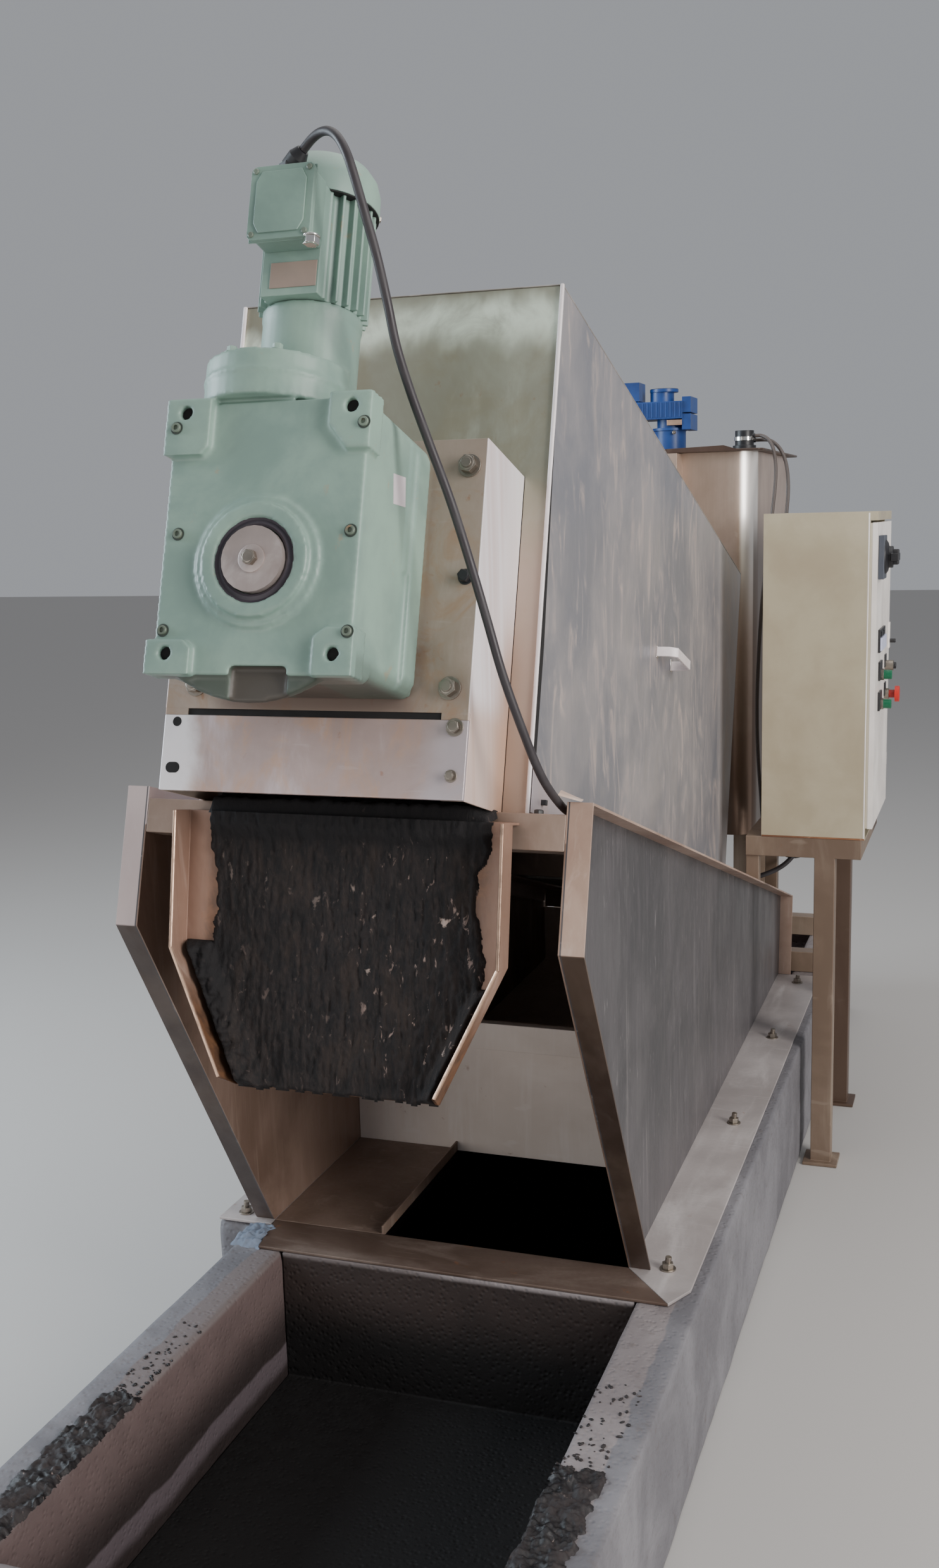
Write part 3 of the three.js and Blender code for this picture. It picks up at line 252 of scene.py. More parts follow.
def cheek_zones(f, colour, clouds):
    """The housing's side faces are streaked and painted bright, partly as painted light from the right and
    brightest high towards the rear, and tan towards their rear edge low down; the front has painted shade
    under the gearbox.
    """
    across = f.size(f.minus(f.off_axis(), HOUSING_SHIFT))
    along, up = f.along_and_up()
    wide = f.noise((5, 30, 0.7), 5, 0.6, 0.3, turn=LEAN_TURN)
    # The side faces' bright colour is partly painted light from the right
    cheek = f.over((240, 224, 222), (255, 248, 250), wide, 0.36, 0.64)
    rear = f.times(f.rise(along, -0.045, 0.03), f.fall(up, 0.16, 0.34))
    cheek = f.mix(f.times(rear, 0.85), cheek, (190, 156, 134))
    cheek = f.over(cheek, (210, 172, 146), up, 0.10, 0.15, 0.6, 0.0)
    # Brighter still high up towards the rear: more of the painted light
    high = f.times(f.rise(along, -0.06, -0.02), f.rise(up, 0.22, 0.36))
    cheek = f.mix(f.times(high, 0.7), cheek, (255, 250, 252))
    soft = f.noise(11, 5, 0.66, 0.9)
    colour = f.over(colour, (164, 128, 98), soft, 0.5, 0.68, 0.0, 0.5)
    # Painted shade on the housing's front under the gearbox
    under = f.times(f.rise(up, 0.082, 0.12, 0.0, 0.75), f.fall(across, 0.13, 0.19))
    colour = f.mix(f.times(under, f.fall(up, 0.2, 0.21)), colour, (104, 86, 78))
    return f.over(colour, cheek, across, 0.2452, 0.2458)


def cover_zones(f, colour, clouds):
    """The lower cover has a painted cold pale reflection towards its ends and brown drips from its bolts."""
    across = f.minus(f.off_axis(), HOUSING_SHIFT)
    soft = f.noise((13, 13, 7.8), 5, 0.66, 0.8)
    colour = f.over(colour, (198, 158, 128), soft, 0.48, 0.66, 0.0, 0.5)
    wander = f.wander(clouds, 0.03)
    # Painted reflection: near white on the left end, pale bluish grey on the right end
    left = f.rise(f.plus(across, wander), -0.215, -0.175, 0.8, 0.0)
    right = f.rise(f.plus(across, wander), 0.15, 0.21, 0.0, 0.55)
    colour = f.mix(left, colour, (255, 252, 255))
    return f.mix(right, colour, (190, 186, 194))


def chute_zones(f, colour, clouds):
    """Beside the cake the chute's sheet is brown and rusty; its walls stay tan."""
    across = f.size(f.minus(f.off_axis(), CHUTE_SHIFT))
    wander = f.wander(f.noise((12, 12, 5), 4), 0.012)
    near = f.rise(f.plus(across, wander), 0.205, 0.252, 0.9, 0.0)
    spots = f.noise(30, 5, 0.7, 0.6)
    brown = f.over((82, 58, 43), (118, 82, 56), spots, 0.4, 0.62)
    return f.mix(near, colour, brown)


def front_zones(f, colour, clouds):
    """The hood's front has a painted pale green reflection in a band near its top and is tan low down."""
    up = f.along_and_up()[1]
    blotches = f.noise(13, 5, 0.6, 0.8)
    colour = f.over(colour, (146, 140, 118), blotches, 0.4, 0.66, 0.0, 0.5)
    # Painted reflection: a pale green band near the top, with a wandering edge
    wander = f.wander(f.noise((7, 7, 2.8), 4), 0.035)
    level = f.plus(up, wander)
    band = f.times(f.rise(level, 0.715, 0.765), f.fall(level, 0.775, 0.815))
    colour = f.over(colour, (180, 157, 144), up, 0.34, 0.52, 0.8, 0.0)
    return f.mix(f.times(band, f.rise(blotches, 0.3, 0.6, 0.4, 1.0)), colour, (232, 242, 224))


def painted(name, base, shade, worn, rough=0.42, rust=0.25, grit=0.15, seed=0.0, zones=None):
    """Paint on metal or a casting, with dust in soft clouds, worn spots and rust."""
    f = Finish(name, rough=rough)
    clouds = f.noise(6.5, 5, 0.6, 0.3, shift=(seed, 0, seed))
    fine = f.noise(70, 4, 0.6)
    colour = f.over(shade, base, clouds, 0.35, 0.68)
    colour = f.over(colour, shade, fine, 0.45, 0.8, 0.0, 0.18)
    spots = f.noise(23, 5, 0.68, 0.5, shift=(0, seed, 0))
    colour = f.over(colour, worn, spots, 0.7 - 0.12 * rust, 0.78 - 0.1 * rust, 0.0, 0.25 + 0.5 * rust)
    if zones:
        colour = zones(f, colour, clouds)
    f.colour(colour)
    f.rough(f.rise(clouds, 0.3, 0.75, rough - 0.07, rough + 0.12))
    f.bump(f.noise(210, 3, 0.5), grit, 0.0006)
    return f.material


def gear_zones(f, colour, clouds):
    """Under its face the gearbox is painted dark as painted shade, strongest near the middle, and so is the
    recess below its face.
    """
    along, up = f.along_and_up()
    # Painted shade under the face
    wander = f.wander(clouds, 0.004)
    low = f.times(f.fall(f.plus(up, wander), 0.135, 0.155), f.rise(along, -0.3705, -0.3685))
    middle = f.rise(f.size(f.off_axis()), 0.12, 0.15, 0.9, 0.35)
    colour = f.mix(f.times(low, middle), colour, (62, 66, 58))
    # Painted shade in the recess below the face
    across = f.size(f.minus(f.off_axis(), 0.0125))
    notch = f.times(f.fall(across, 0.042, 0.0435), f.fall(up, 0.162, 0.166))
    notch = f.times(notch, f.rise(along, -0.364, -0.362))
    return f.mix(f.times(notch, 0.85), colour, (74, 66, 60))


def tank_zones(f, colour, clouds):
    """The tank's corner beside the cabinet has a painted highlight that fades downwards; low down it is
    brown, and its right side low down has painted shade beside the cabinet.
    """
    across = f.off_axis()
    up = f.axis("Z")
    # Painted highlight on the corner, fading downwards
    painted_highlight = f.times(f.rise(across, 0.258, 0.270), f.fall(across, 0.302, 0.305))
    painted_highlight = f.times(painted_highlight, f.rise(up, MACHINE.z + 0.95, MACHINE.z + 1.35, 0.05, 1.0))
    colour = f.mix(painted_highlight, colour, (255, 250, 245))
    colour = f.over(colour, (130, 106, 90), up, MACHINE.z + 0.60, MACHINE.z + 1.10, 0.75, 0.0)
    # Painted shade on the right side low down, between tank and cabinet
    side = f.times(f.rise(across, 0.294, 0.297), f.rise(up, MACHINE.z + 1.20, MACHINE.z + 1.40, 0.75, 0.0))
    return f.mix(side, colour, (104, 86, 76))


def frame_zones(f, colour, clouds):
    """The rear leg of the cabinet's frame is darker and browner: rust, and painted shade."""
    return f.over(colour, (78, 58, 48), f.axis("Y"), MACHINE.y + 1.98, MACHINE.y + 2.02, 0.0, 0.8)


def side_zones(f, colour, clouds):
    """The hood's right side is painted paler towards its rear end: painted light where the cabinet's shadow
    falls.
    """
    # Painted light, on the right side only
    back = f.rise(f.axis("Y"), MACHINE.y + 1.64, MACHINE.y + 1.76, 0.0, 0.45)
    right = f.rise(f.off_axis(), 0.0, 0.05)
    return f.mix(f.times(back, right), colour, (238, 228, 224))


def plastic(name, base, rough=0.5, dust=0.25):
    """Plastic or rubber with some dust on it."""
    f = Finish(name, rough=rough)
    clouds = f.noise(24, 4, 0.6)
    grey = (*(0.6 * c + 0.05 for c in tone(*base)[:3]), 1.0)
    f.colour(f.over(base, grey, clouds, 0.4, 0.8, 0.0, dust))
    f.rough(f.rise(clouds, 0.3, 0.8, rough - 0.05, rough + 0.15))
    f.bump(f.noise(420, 2), 0.12, 0.0004)
    return f.material


def bright_metal(name, base, rough=0.25):
    """Bare metal, duller in soft spots."""
    f = Finish(name, metal=1.0, rough=rough)
    clouds = f.noise(60, 4, 0.6)
    dull = (*(0.55 * c for c in tone(*base)[:3]), 1.0)
    f.colour(f.over(base, dull, clouds, 0.45, 0.8, 0.0, 0.5))
    f.rough(f.rise(clouds, 0.3, 0.8, rough - 0.08, rough + 0.18))
    return f.material


RUST = (150, 92, 52)
TAN = (164, 138, 122)

mat_housing = worn_steel(
    "housing_steel", (180, 164, 152), (156, 140, 126), (200, 188, 180), RUST, rust=0.5, streak=(9, 9, 3),
    rough=(0.38, 0.55), scratch=0.12, zones=cheek_zones)
mat_cover = worn_steel(
    "cover_steel", (192, 173, 170), (172, 152, 146), (218, 208, 214), RUST, rust=0.35, streak=(11, 11, 1.3),
    rough=(0.32, 0.46), scratch=0.15, zones=cover_zones)
mat_hood_front = worn_steel(
    "hood_front_steel", (166, 168, 152), (148, 146, 130), (184, 188, 172), RUST, rust=0.35, streak=(7, 7, 3),
    rough=(0.3, 0.46), metal=0.45, scratch=0.04, zones=front_zones)
mat_hood_side = worn_steel(
    "hood_side_steel", (166, 160, 160), (132, 132, 138), (202, 184, 174), TAN, rust=0.1,
    streak=(15, 15, 5.5), turn=(TILT - 0.30, 0, 0), rough=(0.34, 0.55), bend=1.6, scratch=0.08,
    zones=side_zones)
mat_hood_top = worn_steel(
    "hood_top_steel", (160, 154, 148), (136, 130, 124), (190, 184, 178), RUST, rust=0.2, rough=(0.36, 0.58))
mat_bar = worn_steel(
    "base_bar_steel", (112, 94, 84), (88, 70, 60), (140, 124, 114), RUST, rust=0.35, streak=(4, 12, 12),
    turn=(0, 0, 0), metal=0.3, rough=(0.42, 0.6))
mat_flange = worn_steel(
    "base_flange_steel", (194, 186, 184), (168, 160, 158), (216, 210, 208), RUST, rust=0.3,
    streak=(12, 2.5, 12), turn=(0, 0, 0), metal=0.3, rough=(0.4, 0.58))
mat_inner = worn_steel(
    "inner_steel", (150, 130, 118), (118, 99, 87), (168, 150, 138), RUST, rust=0.3, metal=0.2,
    rough=(0.45, 0.65))
# The tray's steel is painted pale: painted light inside the plates, where shade falls
mat_tray_painted_light = worn_steel(
    "tray_steel", (250, 240, 232), (236, 224, 214), (252, 244, 238), RUST, rust=0.3, metal=0.1,
    rough=(0.45, 0.65))
mat_chute = worn_steel(
    "chute_steel", (158, 128, 112), (130, 100, 84), (182, 156, 142), RUST, rust=0.35, metal=0.3,
    rough=(0.4, 0.6), zones=chute_zones)
mat_shaft = worn_steel(
    "shaft_steel", (180, 166, 162), (156, 144, 138), (196, 186, 182), RUST, rust=0.2, streak=(20, 20, 20),
    metal=0.5, rough=(0.35, 0.5), scratch=0.1)
frame_tones = ((146, 127, 110), (120, 101, 86), (164, 148, 132), RUST)
frame_look = {"rust": 0.3, "streak": (12, 12, 2), "turn": (0, 0, 0), "metal": 0.3, "rough": (0.4, 0.58)}
mat_frame = worn_steel("frame_steel", *frame_tones, **frame_look)
mat_cabinet_frame = worn_steel("cabinet_frame_steel", *frame_tones, **frame_look, zones=frame_zones)
mat_tank = worn_steel(
    "tank_steel", (206, 184, 168), (180, 156, 140), (222, 206, 194), TAN, rust=0.1, streak=(6, 6, 0.8),
    turn=(0, 0, 0), metal=0.6, rough=(0.28, 0.38), scratch=0.15, zones=tank_zones)
mat_lid = worn_steel(
    "lid_steel", (110, 96, 88), (82, 68, 60), (134, 118, 108), RUST, rust=0.5, metal=0.4, rough=(0.4, 0.6))
mat_lip = worn_steel(
    "lid_lip_steel", (86, 66, 56), (64, 48, 40), (112, 92, 80), RUST, rust=0.5, metal=0.3, rough=(0.45, 0.65))
mat_green = painted("green_paint", (141, 167, 153), (122, 146, 136), (168, 140, 108), rust=0.45)
mat_terminal = painted("terminal_paint", (129, 155, 142), (112, 136, 126), (168, 140, 108), rust=0.45)
mat_gear = painted(
    "gear_paint", (139, 165, 151), (121, 145, 135), (168, 140, 108), rust=0.45, zones=gear_zones)
mat_cabinet = painted(
    "cabinet_paint", (184, 174, 149), (173, 161, 136), (160, 128, 92), rough=0.36, rust=0.05, grit=0.1,
    seed=3.0)
# The door's paint is paler and less yellow than the box's, and brightened further as painted light from the
# right
mat_door = painted(
    "door_paint", (248, 242, 236), (238, 231, 224), (160, 128, 92), rough=0.34, rust=0.05, grit=0.08,
    seed=4.0)
mat_blue = painted("blue_paint", (34, 74, 140), (24, 56, 112), (90, 96, 110), rough=0.35, seed=5.0)
mat_black = plastic("black_plastic", (34, 34, 37), 0.42)
mat_rubber = plastic("cable_rubber", (50, 45, 48), 0.48, 0.4)
mat_dusty_rubber = plastic("dusty_rubber", (86, 77, 73), 0.5, 0.5)
mat_seal = plastic("seal_rubber", (60, 54, 62), 0.38, 0.3)
mat_grey = plastic("meter_face", (210, 214, 240), 0.3, 0.05)
mat_slate = plastic("slate_plastic", (75, 80, 90), 0.42, 0.2)
mat_green_button = plastic("green_button", (16, 104, 70), 0.3, 0.1)
mat_dark_red = plastic("dark_red_stem", (150, 30, 25), 0.4, 0.1)
mat_red_button = plastic("red_button", (196, 40, 30), 0.32, 0.1)
mat_bolt = bright_metal("bolt_steel", (152, 144, 134), 0.4)
mat_chrome = bright_metal("chrome_steel", (228, 226, 222), 0.16)
# Near white paint on the hood's lips and handles: a painted highlight on their edges
mat_trim = painted(
    "trim_steel", (244, 236, 236), (222, 212, 212), (196, 172, 160), rough=0.3, rust=0.0, grit=0.02)
mat_label = plastic("bare_label", (152, 134, 122), 0.4, 0.4)
mat_sticker = plastic("bare_sticker", (206, 196, 200), 0.45, 0.3)
mat_dark = plastic("dark_gap", (20, 17, 17), 0.8, 0.1)
mat_gasket = plastic("door_seal", (202, 192, 170), 0.6, 0.1)
mat_rust = painted("rust_line", (150, 104, 72), (112, 74, 52), (186, 168, 146), rough=0.8, rust=0.8)
# Dark paint for the screws' spot faces: painted shade
mat_recess_shade = plastic("screw_recess_shade", (58, 66, 60), 0.7, 0.2)
mat_seat = painted("screw_seat", (112, 126, 112), (88, 96, 84), (150, 112, 78), rust=0.9)
mat_fold = worn_steel(
    "fold_steel", (206, 182, 166), (176, 152, 136), (226, 210, 200), RUST, rust=0.15, streak=(9, 9, 2.5),
    metal=0.3, rough=(0.36, 0.5), scratch=0.2)
mat_cross = worn_steel(
    "cross_steel", (158, 138, 125), (136, 116, 102), (176, 158, 146), RUST, rust=0.2, streak=(9, 9, 2.5),
    metal=0.3, rough=(0.36, 0.5), scratch=0.1)
mat_trim_tan = bright_metal("tan_rim", (200, 168, 146), 0.36)
mat_mortar = painted("mortar", (122, 132, 148), (100, 108, 122), (90, 84, 84), rough=0.9, rust=0.1, grit=0.5)


def concrete(name, floor_level, wall=False):
    """Cast concrete: cream paint on the kerb's inner strip, grey outside, and inside the pit painted dark as
    painted shade that deepens downwards.
    """
    f = Finish(name, rough=0.85)
    clouds = f.noise(4.2, 6, 0.62, 0.4)
    fine = f.noise(48, 5, 0.65)
    pits = f.cells(90)
    grey = f.over((100, 98, 102), (126, 124, 128), clouds, 0.35, 0.7)
    cream = f.over((120, 112, 112), (144, 136, 136), clouds, 0.35, 0.7)
    wander = f.rise(f.noise(9, 3), 0, 1, -0.012, 0.012)
    across = f.plus(f.off_axis(), wander)
    is_left = f.fall(across, -0.05, 0.05)
    cream = f.mix(is_left, cream, (112, 103, 102))
    inside_left = f.rise(across, -CREAM_LEFT - 0.002, -CREAM_LEFT + 0.002)
    inside_right = f.fall(across, CREAM_RIGHT - 0.002, CREAM_RIGHT + 0.002)
    colour = f.mix(f.times(inside_left, inside_right), grey, cream)
    colour = f.over(colour, (92, 82, 76), fine, 0.56, 0.74, 0.0, 0.4)
    # Inside the pit the walls darken downwards: painted shade
    depth = f.fall(f.axis("Z"), floor_level, kerb_high.z - 0.008)
    near = f.fall(f.axis("Z"), kerb_high.z - 0.012, kerb_high.z - 0.004)
    in_left = f.rise(across, PIT_LEFT - 0.03, PIT_LEFT - 0.01)
    in_right = f.fall(across, PIT_RIGHT + 0.01, PIT_RIGHT + 0.03)
    in_front = f.rise(f.axis("Y"), kerb_low.y + 0.06, kerb_low.y + 0.08)
    in_rear = f.fall(f.axis("Y"), kerb_high.y - 0.08, kerb_high.y - 0.06)
    inside = f.times(f.times(in_left, in_right), f.times(in_front, in_rear))
    pit_top_shade, pit_deep_shade = ((54, 43, 40), (15, 12, 12)) if wall else ((98, 82, 80), (44, 34, 33))
    pit_shaded = f.over(pit_top_shade, pit_deep_shade, depth, 0.1, 0.75)
    pit_shaded = f.over(pit_shaded, pit_deep_shade, clouds, 0.4, 0.7, 0.0, 0.35)
    line = f.plus(f.axis("Z"), f.wander(f.noise((5, 5, 1), 3), 0.008))
    step = f.times(
        f.rise(line, kerb_high.z - 0.235, kerb_high.z - 0.21),
        f.fall(line, kerb_high.z - 0.185, kerb_high.z - 0.178))
    if not wall:
        pit_shaded = f.mix(f.times(step, 0.5), pit_shaded, (122, 110, 116))
    colour = f.mix(f.times(inside, near), colour, pit_shaded)
    f.colour(colour)
    f.rough(f.rise(fine, 0.3, 0.8, 0.7, 0.95))
    f.bump(f.plus(fine, f.rise(pits, 0.0, 0.5)), 0.5, 0.0025)
    return f.material


def sludge(name):
    """Pressed sludge: black and fibrous, with brown dried parts and a few pale specks."""
    f = Finish(name, rough=0.6)
    clouds = f.noise(15, 6, 0.65, 0.6)
    fibres = f.noise((70, 70, 17), 6, 0.7, 0.5)
    specks = f.noise((60, 60, 34), 4, 0.7, 0.8)
    colour = f.over((20, 17, 19), (42, 35, 35), clouds, 0.4, 0.62)
    colour = f.over(colour, (64, 53, 50), fibres, 0.52, 0.72, 0.0, 0.6)
    colour = f.over(colour, (150, 132, 124), specks, 0.64, 0.72, 0.0, 0.85)
    f.colour(colour)
    f.rough(f.rise(clouds, 0.35, 0.65, 0.42, 0.75))
    f.bump(f.plus(f.noise((160, 160, 60), 5, 0.7), fibres), 0.6, 0.002)
    return f.material


def cake(name):
    """Pressed cake: black, with brown streaks that run down and pale specks, more of them on the right, and
    painted near black at its top as painted shadow of the cover.
    """
    f = Finish(name, rough=0.85)
    across = f.minus(f.off_axis(), CHUTE_SHIFT)
    clouds = f.noise((16, 16, 7), 6, 0.65, 0.6)
    streaks = f.noise((95, 95, 20), 5, 0.65, 0.6)
    fibres = f.noise((190, 190, 60), 4, 0.7, 0.4)
    specks = f.noise((75, 75, 32), 4, 0.62, 0.7)
    chips = f.noise((26, 26, 15), 5, 0.6, 0.5, turn=(0, 0.2, 0))
    colour = f.over((13, 10, 12), (33, 26, 25), streaks, 0.4, 0.62)
    colour = f.over(colour, (46, 36, 31), clouds, 0.5, 0.68, 0.0, 0.7)
    colour = f.over(colour, (54, 44, 40), fibres, 0.5, 0.7, 0.0, 0.45)
    right = f.rise(across, -0.02, 0.10, 0.25, 1.0)
    colour = f.mix(f.times(f.rise(specks, 0.625, 0.70), right), colour, (138, 118, 110))
    colour = f.mix(f.times(f.rise(chips, 0.68, 0.73), right), colour, (176, 156, 146))
    # Painted shadow of the cover at the top; the low left mass is near black as well
    top = f.rise(f.axis("Z"), MACHINE.z + 0.85, MACHINE.z + 0.875, 0.0, 0.85)
    left = f.times(
        f.rise(across, -0.20, -0.16, 0.85, 0.0), f.fall(f.axis("Z"), MACHINE.z + 0.70, MACHINE.z + 0.74))
    colour = f.mix(f.math("MAXIMUM", top, left), colour, (14, 12, 15))
    f.colour(colour)
    f.bump(f.plus(fibres, streaks), 0.7, 0.002)
    return f.material


def plate_steel(name):
    """Side plate: brown inside, pale on its rail, dark and scratched outside, tan on its folds, with painted
    light on the left side's folds and painted shade on the low front fold.
    """
    f = Finish(name, metal=0.35)
    across = f.size(f.off_axis())
    is_outer = f.rise(across, 0.3562, 0.3568)
    is_fold = f.rise(across, 0.3586, 0.3590)
    clouds = f.noise(3.4, 6, 0.6, 0.5)
    mid = f.noise((22, 22, 5), 6, 0.64, 0.5, turn=(0.12, 0, 0))
    drips = f.noise((44, 44, 2.6), 6, 0.66, 0.5, turn=(0.1, 0, 0))
    grain = f.noise((150, 150, 8), 3, 0.6, turn=(0.12, 0, 0))
    scuffs = f.noise((4, 150, 22), 3, 0.55, 0.4, turn=(0.85, 0.1, 0.2))
    face = f.over((72, 71, 73), (92, 89, 91), clouds, 0.36, 0.64)
    face = f.over(face, (106, 102, 104), mid, 0.48, 0.72, 0.0, 0.55)
    face = f.over(face, (140, 134, 134), drips, 0.56, 0.74, 0.0, 0.6)
    face = f.over(face, (68, 66, 68), grain, 0.3, 0.75, 0.0, 0.25)
    face = f.over(face, (146, 140, 140), scuffs, 0.645, 0.72, 0.0, 0.6)
    low = f.rise(f.axis("Z"), kerb_high.z + 0.05, kerb_high.z + 0.35, 0.12, 0.0)
    face = f.mix(low, face, (168, 160, 162))
    fold = f.over((166, 138, 122), (192, 166, 150), clouds, 0.36, 0.64)
    fold = f.over(fold, (206, 186, 174), drips, 0.5, 0.72, 0.0, 0.5)
    # Painted light: the left side's folds are paler
    fold = f.over(fold, (204, 190, 190), f.off_axis(), -0.05, 0.05, 0.7, 0.0)
    # Painted shade on the low front fold
    knee_shade = f.times(
        f.fall(f.axis("Z"), MACHINE.z + 0.709, MACHINE.z + 0.713),
        f.fall(f.axis("Y"), MACHINE.y + 0.38, MACHINE.y + 0.42))
    fold = f.mix(f.times(knee_shade, 0.9), fold, f.over((52, 40, 34), (80, 66, 56), clouds, 0.4, 0.6))
    back = f.over((124, 101, 88), (158, 133, 119), clouds, 0.36, 0.64)
    back = f.over(back, (172, 150, 136), drips, 0.5, 0.72, 0.0, 0.5)
    is_rail = f.rise(f.along_and_up()[1], -0.064, -0.061)
    back = f.mix(is_rail, back, fold)
    f.colour(f.mix(is_fold, f.mix(is_outer, back, face), fold))
    f.rough(f.rise(mid, 0.35, 0.7, 0.36, 0.58))
    f.bump(f.noise(40, 4), 0.22, 0.0008)
    return f.material


mat_concrete = concrete("kerb_concrete", PIT_FLOOR_TOP)
mat_pit = concrete("pit_concrete", PIT_FLOOR_TOP, wall=True)
mat_sludge = sludge("sludge")
mat_cake = cake("cake")
mat_plate = plate_steel("side_plate_steel")


# Shapes


def new_object(name, mesh, material):
    obj = bpy.data.objects.new(name, mesh)
    scene.collection.objects.link(obj)
    mesh.materials.clear()
    mesh.materials.append(material)
    return obj


def mesh_of(name, bm):
    mesh = bpy.data.meshes.new(name)
    bm.to_mesh(mesh)
    bm.free()
    return mesh


def round_edges(obj, width, segments=2, angle=30):
    bevel = obj.modifiers.new("edges", "BEVEL")
    bevel.width = width
    bevel.segments = segments
    bevel.limit_method = "ANGLE"
    bevel.angle_limit = math.radians(angle)
    bevel.harden_normals = False
    weighted = obj.modifiers.new("normals", "WEIGHTED_NORMAL")
    weighted.weight = 50


def all_smooth(mesh):
    mesh.polygons.foreach_set("use_smooth", [True] * len(mesh.polygons))


def piece(name, bm, material, slot, place=UPRIGHT, body=MAIN, bevel=0.0, angle=35, stands_for=()):
    """The mesh made in bm, put in its place, as one piece that rides on a body."""
    bmesh.ops.recalc_face_normals(bm, faces=bm.faces)
    mesh = mesh_of(name, bm)
    mesh.transform(place)
    all_smooth(mesh)
    mesh.set_sharp_from_angle(angle=math.radians(angle))
    obj = new_object(name, mesh, material)
    if bevel:
        round_edges(obj, bevel)
    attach(obj, body)
    if stands_for:
        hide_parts(*stands_for)


def group(name, add, rows, material, slot, place=UPRIGHT, **how):
    """One piece made of like shapes: add makes one from each row."""
    bm = bmesh.new()
    for row in rows:
        add(bm, *row)
    piece(name, bm, material, slot, place, **how)


def dress(node, material, bevel, segments=2, angle=30):
    """A CAD node with soft edges and a finish."""
    obj = nodes[node]
    mesh = obj.data
    if mesh.materials:
        mesh.materials[0] = material
    else:
        mesh.materials.append(material)
    custom = mesh.attributes.get("custom_normal")
    if custom:
        mesh.attributes.remove(custom)
    all_smooth(mesh)
    weld = obj.modifiers.new("weld", "WELD")
    weld.merge_threshold = 0.00001
    flat = obj.modifiers.new("flat", "DECIMATE")
    flat.decimate_type = "DISSOLVE"
    flat.angle_limit = math.radians(0.6)
    round_edges(obj, bevel, segments, angle)


def add_box(bm, x, y, z, turn=None):
    """A box given by its ranges, turned about its middle."""
    made = bmesh.ops.create_cube(bm, size=1.0)["verts"]
    size = Matrix.Diagonal((x[1] - x[0], y[1] - y[0], z[1] - z[0], 1))
    centre = Matrix.Translation(((x[0] + x[1]) / 2, (y[0] + y[1]) / 2, (z[0] + z[1]) / 2))
    bmesh.ops.transform(bm, matrix=centre @ (turn or Matrix()) @ size, verts=made)


def both(low, high):
    """The same range on both sides of the screw's axis."""
    return (-high, -low), (low, high)


def facing(out):
    """Turns the z axis to a direction."""
    return Vector(out).to_track_quat("Z", "Y").to_matrix().to_4x4()


def add_rod(bm, start, end, radius, sides=24):
    start, end = Vector(start), Vector(end)
    line = end - start
    place = Matrix.Translation((start + end) / 2) @ facing(line)
    bmesh.ops.create_cone(
        bm, cap_ends=True, segments=sides, radius1=radius, radius2=radius, depth=line.length, matrix=place)


def ring(inner, outer, low, high):
    """Outline of a flat ring, for add_turned."""
    return (inner, low), (outer, low), (outer, high), (inner, high), (inner, low)


def disc(radius, height):
    """Outline of a flat disc, for add_turned."""
    return (0, 0), (radius, 0), (radius, height), (0, height)


def add_turned(bm, profile, centre, along, sides=48):
    """A turned solid: points as (radius, distance along the axis), closed at both ends on the axis."""
    place = Matrix.Translation(centre) @ facing(along)
    rings = []
    for radius, height in profile:
        if radius < 1e-6:
            rings.append([bm.verts.new(place @ Vector((0, 0, height)))])
            continue
        angles = [2 * math.pi * i / sides for i in range(sides)]
        places = [Vector((radius * math.cos(a), radius * math.sin(a), height)) for a in angles]
        rings.append([bm.verts.new(place @ at) for at in places])
    for low, high in zip(rings, rings[1:]):
        for i in range(sides):
            j = (i + 1) % sides
            if len(low) == 1:
                bm.faces.new((low[0], high[i], high[j]))
            elif len(high) == 1:
                bm.faces.new((low[i], high[0], low[j]))
            else:
                bm.faces.new((low[i], high[i], high[j], low[j]))


def add_prism(bm, outline, along, span):
    """An outline of (a, b) points extruded along x, y or z; a and b are the two other axes in order."""
    order = {"x": (1, 2, 0), "y": (0, 2, 1), "z": (0, 1, 2)}[along]
    ends = []
    for at in span:
        corners = []
        for a, b in outline:
            point = [0, 0, 0]
            point[order[0]], point[order[1]], point[order[2]] = a, b, at
            corners.append(bm.verts.new(point))
        ends.append(corners)
    bm.faces.new(ends[0])
    bm.faces.new(list(reversed(ends[1])))
    count = len(outline)
    for i in range(count):
        j = (i + 1) % count
        bm.faces.new((ends[0][i], ends[1][i], ends[1][j], ends[0][j]))


def add_bolt(bm, at, out, across, height, washer=0.0, turn=0.0):
    """A hexagon head with its washer, standing on the face at the point."""
    at, out = Vector(at), Vector(out).normalized()
    foot = at
    if washer:
        foot = at + out * (0.12 * across)
        add_rod(bm, at, foot, washer, 28)
    frame_turn = facing(out) @ Matrix.Rotation(turn, 4, "Z")
    radius = across / math.sqrt(3)
    place = Matrix.Translation(foot + out * height / 2) @ frame_turn
    bmesh.ops.create_cone(
        bm, cap_ends=True, segments=6, radius1=radius, radius2=radius, depth=height, matrix=place)
    dome = Matrix.Translation(foot + out * (height + 0.03 * across)) @ frame_turn
    bmesh.ops.create_cone(
        bm, cap_ends=True, segments=24, radius1=0.47 * across, radius2=0.36 * across, depth=0.06 * across,
        matrix=dome)


def add_socket_screw(bm, at, out, radius, height):
    """A socket head screw: a round head with a six-sided recess."""
    out = Vector(out).normalized()
    recess = 0.55 * radius
    profile = [
        (radius, 0), (radius, 0.86 * height), (0.9 * radius, height), (recess, height),
        (recess, 0.45 * height), (0, 0.45 * height)]
    add_turned(bm, [(0, 0)] + profile, at, out, 18)


